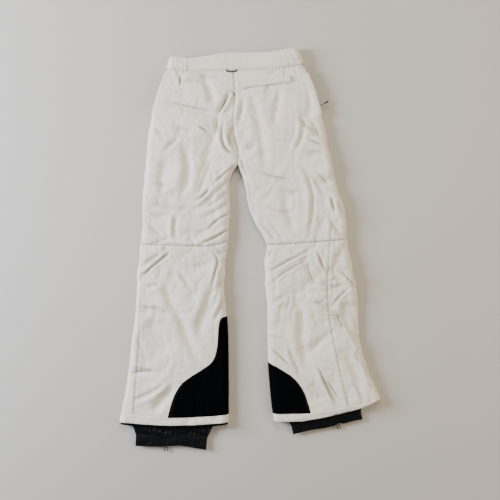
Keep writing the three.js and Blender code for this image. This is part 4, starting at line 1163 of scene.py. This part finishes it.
def stitch_tree():
    tree = bpy.data.node_groups.new("stitch_row", "GeometryNodeTree")
    tree.interface.new_socket("Geometry", in_out="INPUT", socket_type="NodeSocketGeometry")
    for name in ("Pitch", "Length", "Width"):
        tree.interface.new_socket(name, in_out="INPUT", socket_type="NodeSocketFloat")
    tree.interface.new_socket("Thread", in_out="INPUT", socket_type="NodeSocketMaterial")
    tree.interface.new_socket("Geometry", in_out="OUTPUT", socket_type="NodeSocketGeometry")
    inputs = add(tree, "NodeGroupInput").outputs
    line = add(tree, "GeometryNodeMeshToCurve", {"Mesh": inputs["Geometry"]})
    even = add(tree, "GeometryNodeResampleCurve", {"Curve": line.outputs[0], "Length": inputs["Pitch"]},
               mode="LENGTH")
    size = add(tree, "ShaderNodeCombineXYZ", {0: inputs["Length"], 1: inputs["Width"], 2: inputs["Width"]})
    ball = add(tree, "GeometryNodeMeshUVSphere", in_Segments=6, in_Rings=4, in_Radius=0.5)
    along = add(tree, "GeometryNodeInputTangent")
    turn = add(tree, "FunctionNodeAlignRotationToVector", {"Vector": along.outputs[0]}, axis="X")
    threads = add(tree, "GeometryNodeInstanceOnPoints",
                  {"Points": even.outputs[0], "Instance": ball.outputs[0],
                   "Rotation": turn.outputs[0], "Scale": size.outputs[0]})
    real = add(tree, "GeometryNodeRealizeInstances", {"Geometry": threads.outputs[0]})
    soft = add(tree, "GeometryNodeSetShadeSmooth", {"Geometry": real.outputs[0]})
    done = add(tree, "GeometryNodeSetMaterial", {"Geometry": soft.outputs[0], "Material": inputs["Thread"]})
    out = add(tree, "NodeGroupOutput")
    tree.links.new(done.outputs[0], out.inputs[0])
    return tree


STITCHES = stitch_tree()


def sew(name, lines, finish, pitch=6.5, length=4.6, width=1.0):
    """Lines are lists of points in metres; the result is one plain mesh of stitches."""
    points = [tuple(p) for line in lines for p in line]
    edges, first = [], 0
    for line in lines:
        edges += [(first + k, first + k + 1) for k in range(len(line) - 1)]
        first += len(line)
    guide_mesh = bpy.data.meshes.new(name + "_guide")
    guide_mesh.from_pydata(points, edges, [])
    guide = bpy.data.objects.new(name + "_guide", guide_mesh)
    bpy.context.scene.collection.objects.link(guide)
    row = guide.modifiers.new("stitches", "NODES")
    row.node_group = STITCHES
    values = {"Pitch": pitch * MM, "Length": length * MM, "Width": width * MM, "Thread": finish}
    for item in STITCHES.interface.items_tree:
        if item.in_out == "INPUT" and item.name in values:
            row[item.identifier] = values[item.name]
    graph = bpy.context.evaluated_depsgraph_get()
    mesh = bpy.data.meshes.new_from_object(guide.evaluated_get(graph))
    bpy.data.objects.remove(guide)
    mesh.name = name
    made = bpy.data.objects.new(name, mesh)
    bpy.context.scene.collection.objects.link(made)
    return made


print("stitch tree of", len(STITCHES.nodes), "nodes")

# %% [markdown]
# The rows follow the seams at a few millimetres on each side. A ray dropped on the finished
# cloth gives each point its height, so the threads sit in the folds, half sunk.
# %% Stitch rows


def cloth_below(names):
    graph = bpy.context.evaluated_depsgraph_get()
    return [BVHTree.FromObject(bpy.data.objects[name], graph) for name in names]


def on_cloth(trees, line, lift=0.12):
    """Turns (x, drop) points in mm into points on the top of the cloth, leaving out any that miss."""
    placed = []
    for x, drop in line:
        start = Vector((x * MM, TOP_Y - drop * MM, 0.2))
        hits = [tree.ray_cast(start, Vector((0, 0, -1)))[0] for tree in trees]
        heights = [h.z for h in hits if h is not None]
        if heights:
            placed.append((start.x, start.y, max(heights) + lift * MM))
    return placed


def beside(points, offset, step=3.0):
    line = round_off(points)
    gap = np.concatenate([[0], np.cumsum(np.hypot(*np.diff(line, axis=0).T))])
    at = np.linspace(0, gap[-1], max(3, int(gap[-1] / step)))
    line = np.stack([np.interp(at, gap, line[:, k]) for k in (0, 1)], 1)
    way = np.gradient(line, axis=0)
    way /= np.linalg.norm(way, axis=1, keepdims=True)
    return line + offset * np.stack([-way[:, 1], way[:, 0]], 1)


legs = cloth_below([f"{part}_{side}" for part in ("thigh", "lower_leg") for side in SIDES])


def rows_for(points, offsets):
    return [line for line in (on_cloth(legs, beside(points, o)) for o in offsets) if len(line) > 2]


root_rows = rows_for(SEAMS["seat"][:4], (-4.5, 4.5)) + rows_for(SEAMS["dart_left"], (2.5,))
root_rows += rows_for(SEAMS["dart_right"], (2.5,))
for side in SIDES:
    knee = [(x, d - 4.0) for x, d in SEAMS[f"knee_{side}"]]
    root_rows += rows_for(knee, (0,)) + rows_for([(x, d - 7.5) for x, d in SEAMS[f"knee_{side}"]], (0,))
    upper_outseam = [p for p in SEAMS[f"outseam_{side}"] if p[1] < 530]
    if len(upper_outseam) > 1:
        root_rows += rows_for(upper_outseam, (2.5,))
thigh_stitches = sew("thigh_stitches", root_rows, thread)
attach(thigh_stitches, "root")
for side in SIDES:
    lower_outseam = [p for p in SEAMS[f"outseam_{side}"] if p[1] > 550]
    lines = rows_for(lower_outseam, (-2.5, 2.5))
    for name, points in SEAMS.items():
        if name.startswith(f"calf_{side}"):
            lines += rows_for(points, (-3, 3))
    made = sew(f"lower_leg_stitches_{side}", lines, thread)
    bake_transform(made)
    hem = cloth_below([f"hem_turn_up_{side}"])
    x = np.linspace(hem_x[side][0] + 8, hem_x[side][-1] - 8, 90)
    hem_lines = [on_cloth(hem, list(zip(x, hem_curve(side, rise)(x)))) for rise in (19.5, 4.0)]
    leg = cloth_below([f"lower_leg_{side}"])
    hem_lines.append(on_cloth(leg, list(zip(x, hem_curve(side, 26)(x)))))
    made = sew(f"hem_stitches_{side}", [line for line in hem_lines if len(line) > 2], thread)
    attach(made, f"shin_{side}")
    grid = let_out(patches[side], 1.9)
    column = {"left": 2, "right": -3}[side]
    edge_line = [(p[0] * MM, TOP_Y - p[1] * MM, p[2] * MM) for p in grid[3:-3, column]]
    made = sew(f"kick_patch_stitches_{side}", [edge_line], dark_thread)
    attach(made, f"shin_{side}")
    print(side, "rows on the lower leg", len(lines), "and hem", len(hem_lines))

# %% [markdown]
# The waistband is sewn down with one row above the seam and one below, and the pocket welt
# along its fold. A seam also closes the elastic at both ends of the flat middle.
# %% Waistband stitches
belt = cloth_below(["waistband_middle", "waistband_elastic_left", "waistband_elastic_right"])
x = np.linspace(-186, 172, 150)
seam, top = waist_curve(x), np.interp(x, top_x, top_drop)
lines = [on_cloth(belt, list(zip(x, seam + (top - seam) * share))) for share in (0.09, 0.16)]
for at in (ELASTIC["left"], ELASTIC["right"], -12):
    drops = np.linspace(np.interp(at, top_x, top_drop) + 5, waist_curve(at) - 4, 14)
    lines.append(on_cloth(belt, [(at, d) for d in drops]))
lines += [on_cloth(legs, list(zip(x, seam + 4.5)))]
made = sew("waistband_stitches", [line for line in lines if len(line) > 2], thread)
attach(made, "root")
welt_top = cloth_below(["back_pocket_welt"])
c, s = math.cos(FLAP_LEAN), math.sin(FLAP_LEAN)
lines = []
across = np.linspace(3 - FLAP_HALF, FLAP_HALF - 3, 60)
for v in (-5.8, 5.8):
    line = [(flap_mid.x + c * a + s * v, TOP_Y / MM - (flap_mid.y + s * a - c * v)) for a in across]
    lines.append(on_cloth(welt_top, line))
made = sew("pocket_welt_stitches", lines, thread)
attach(made, "pocket_flap")
print("stitched", sum(o.name.find("stitches") >= 0 for o in bpy.data.objects), "groups")
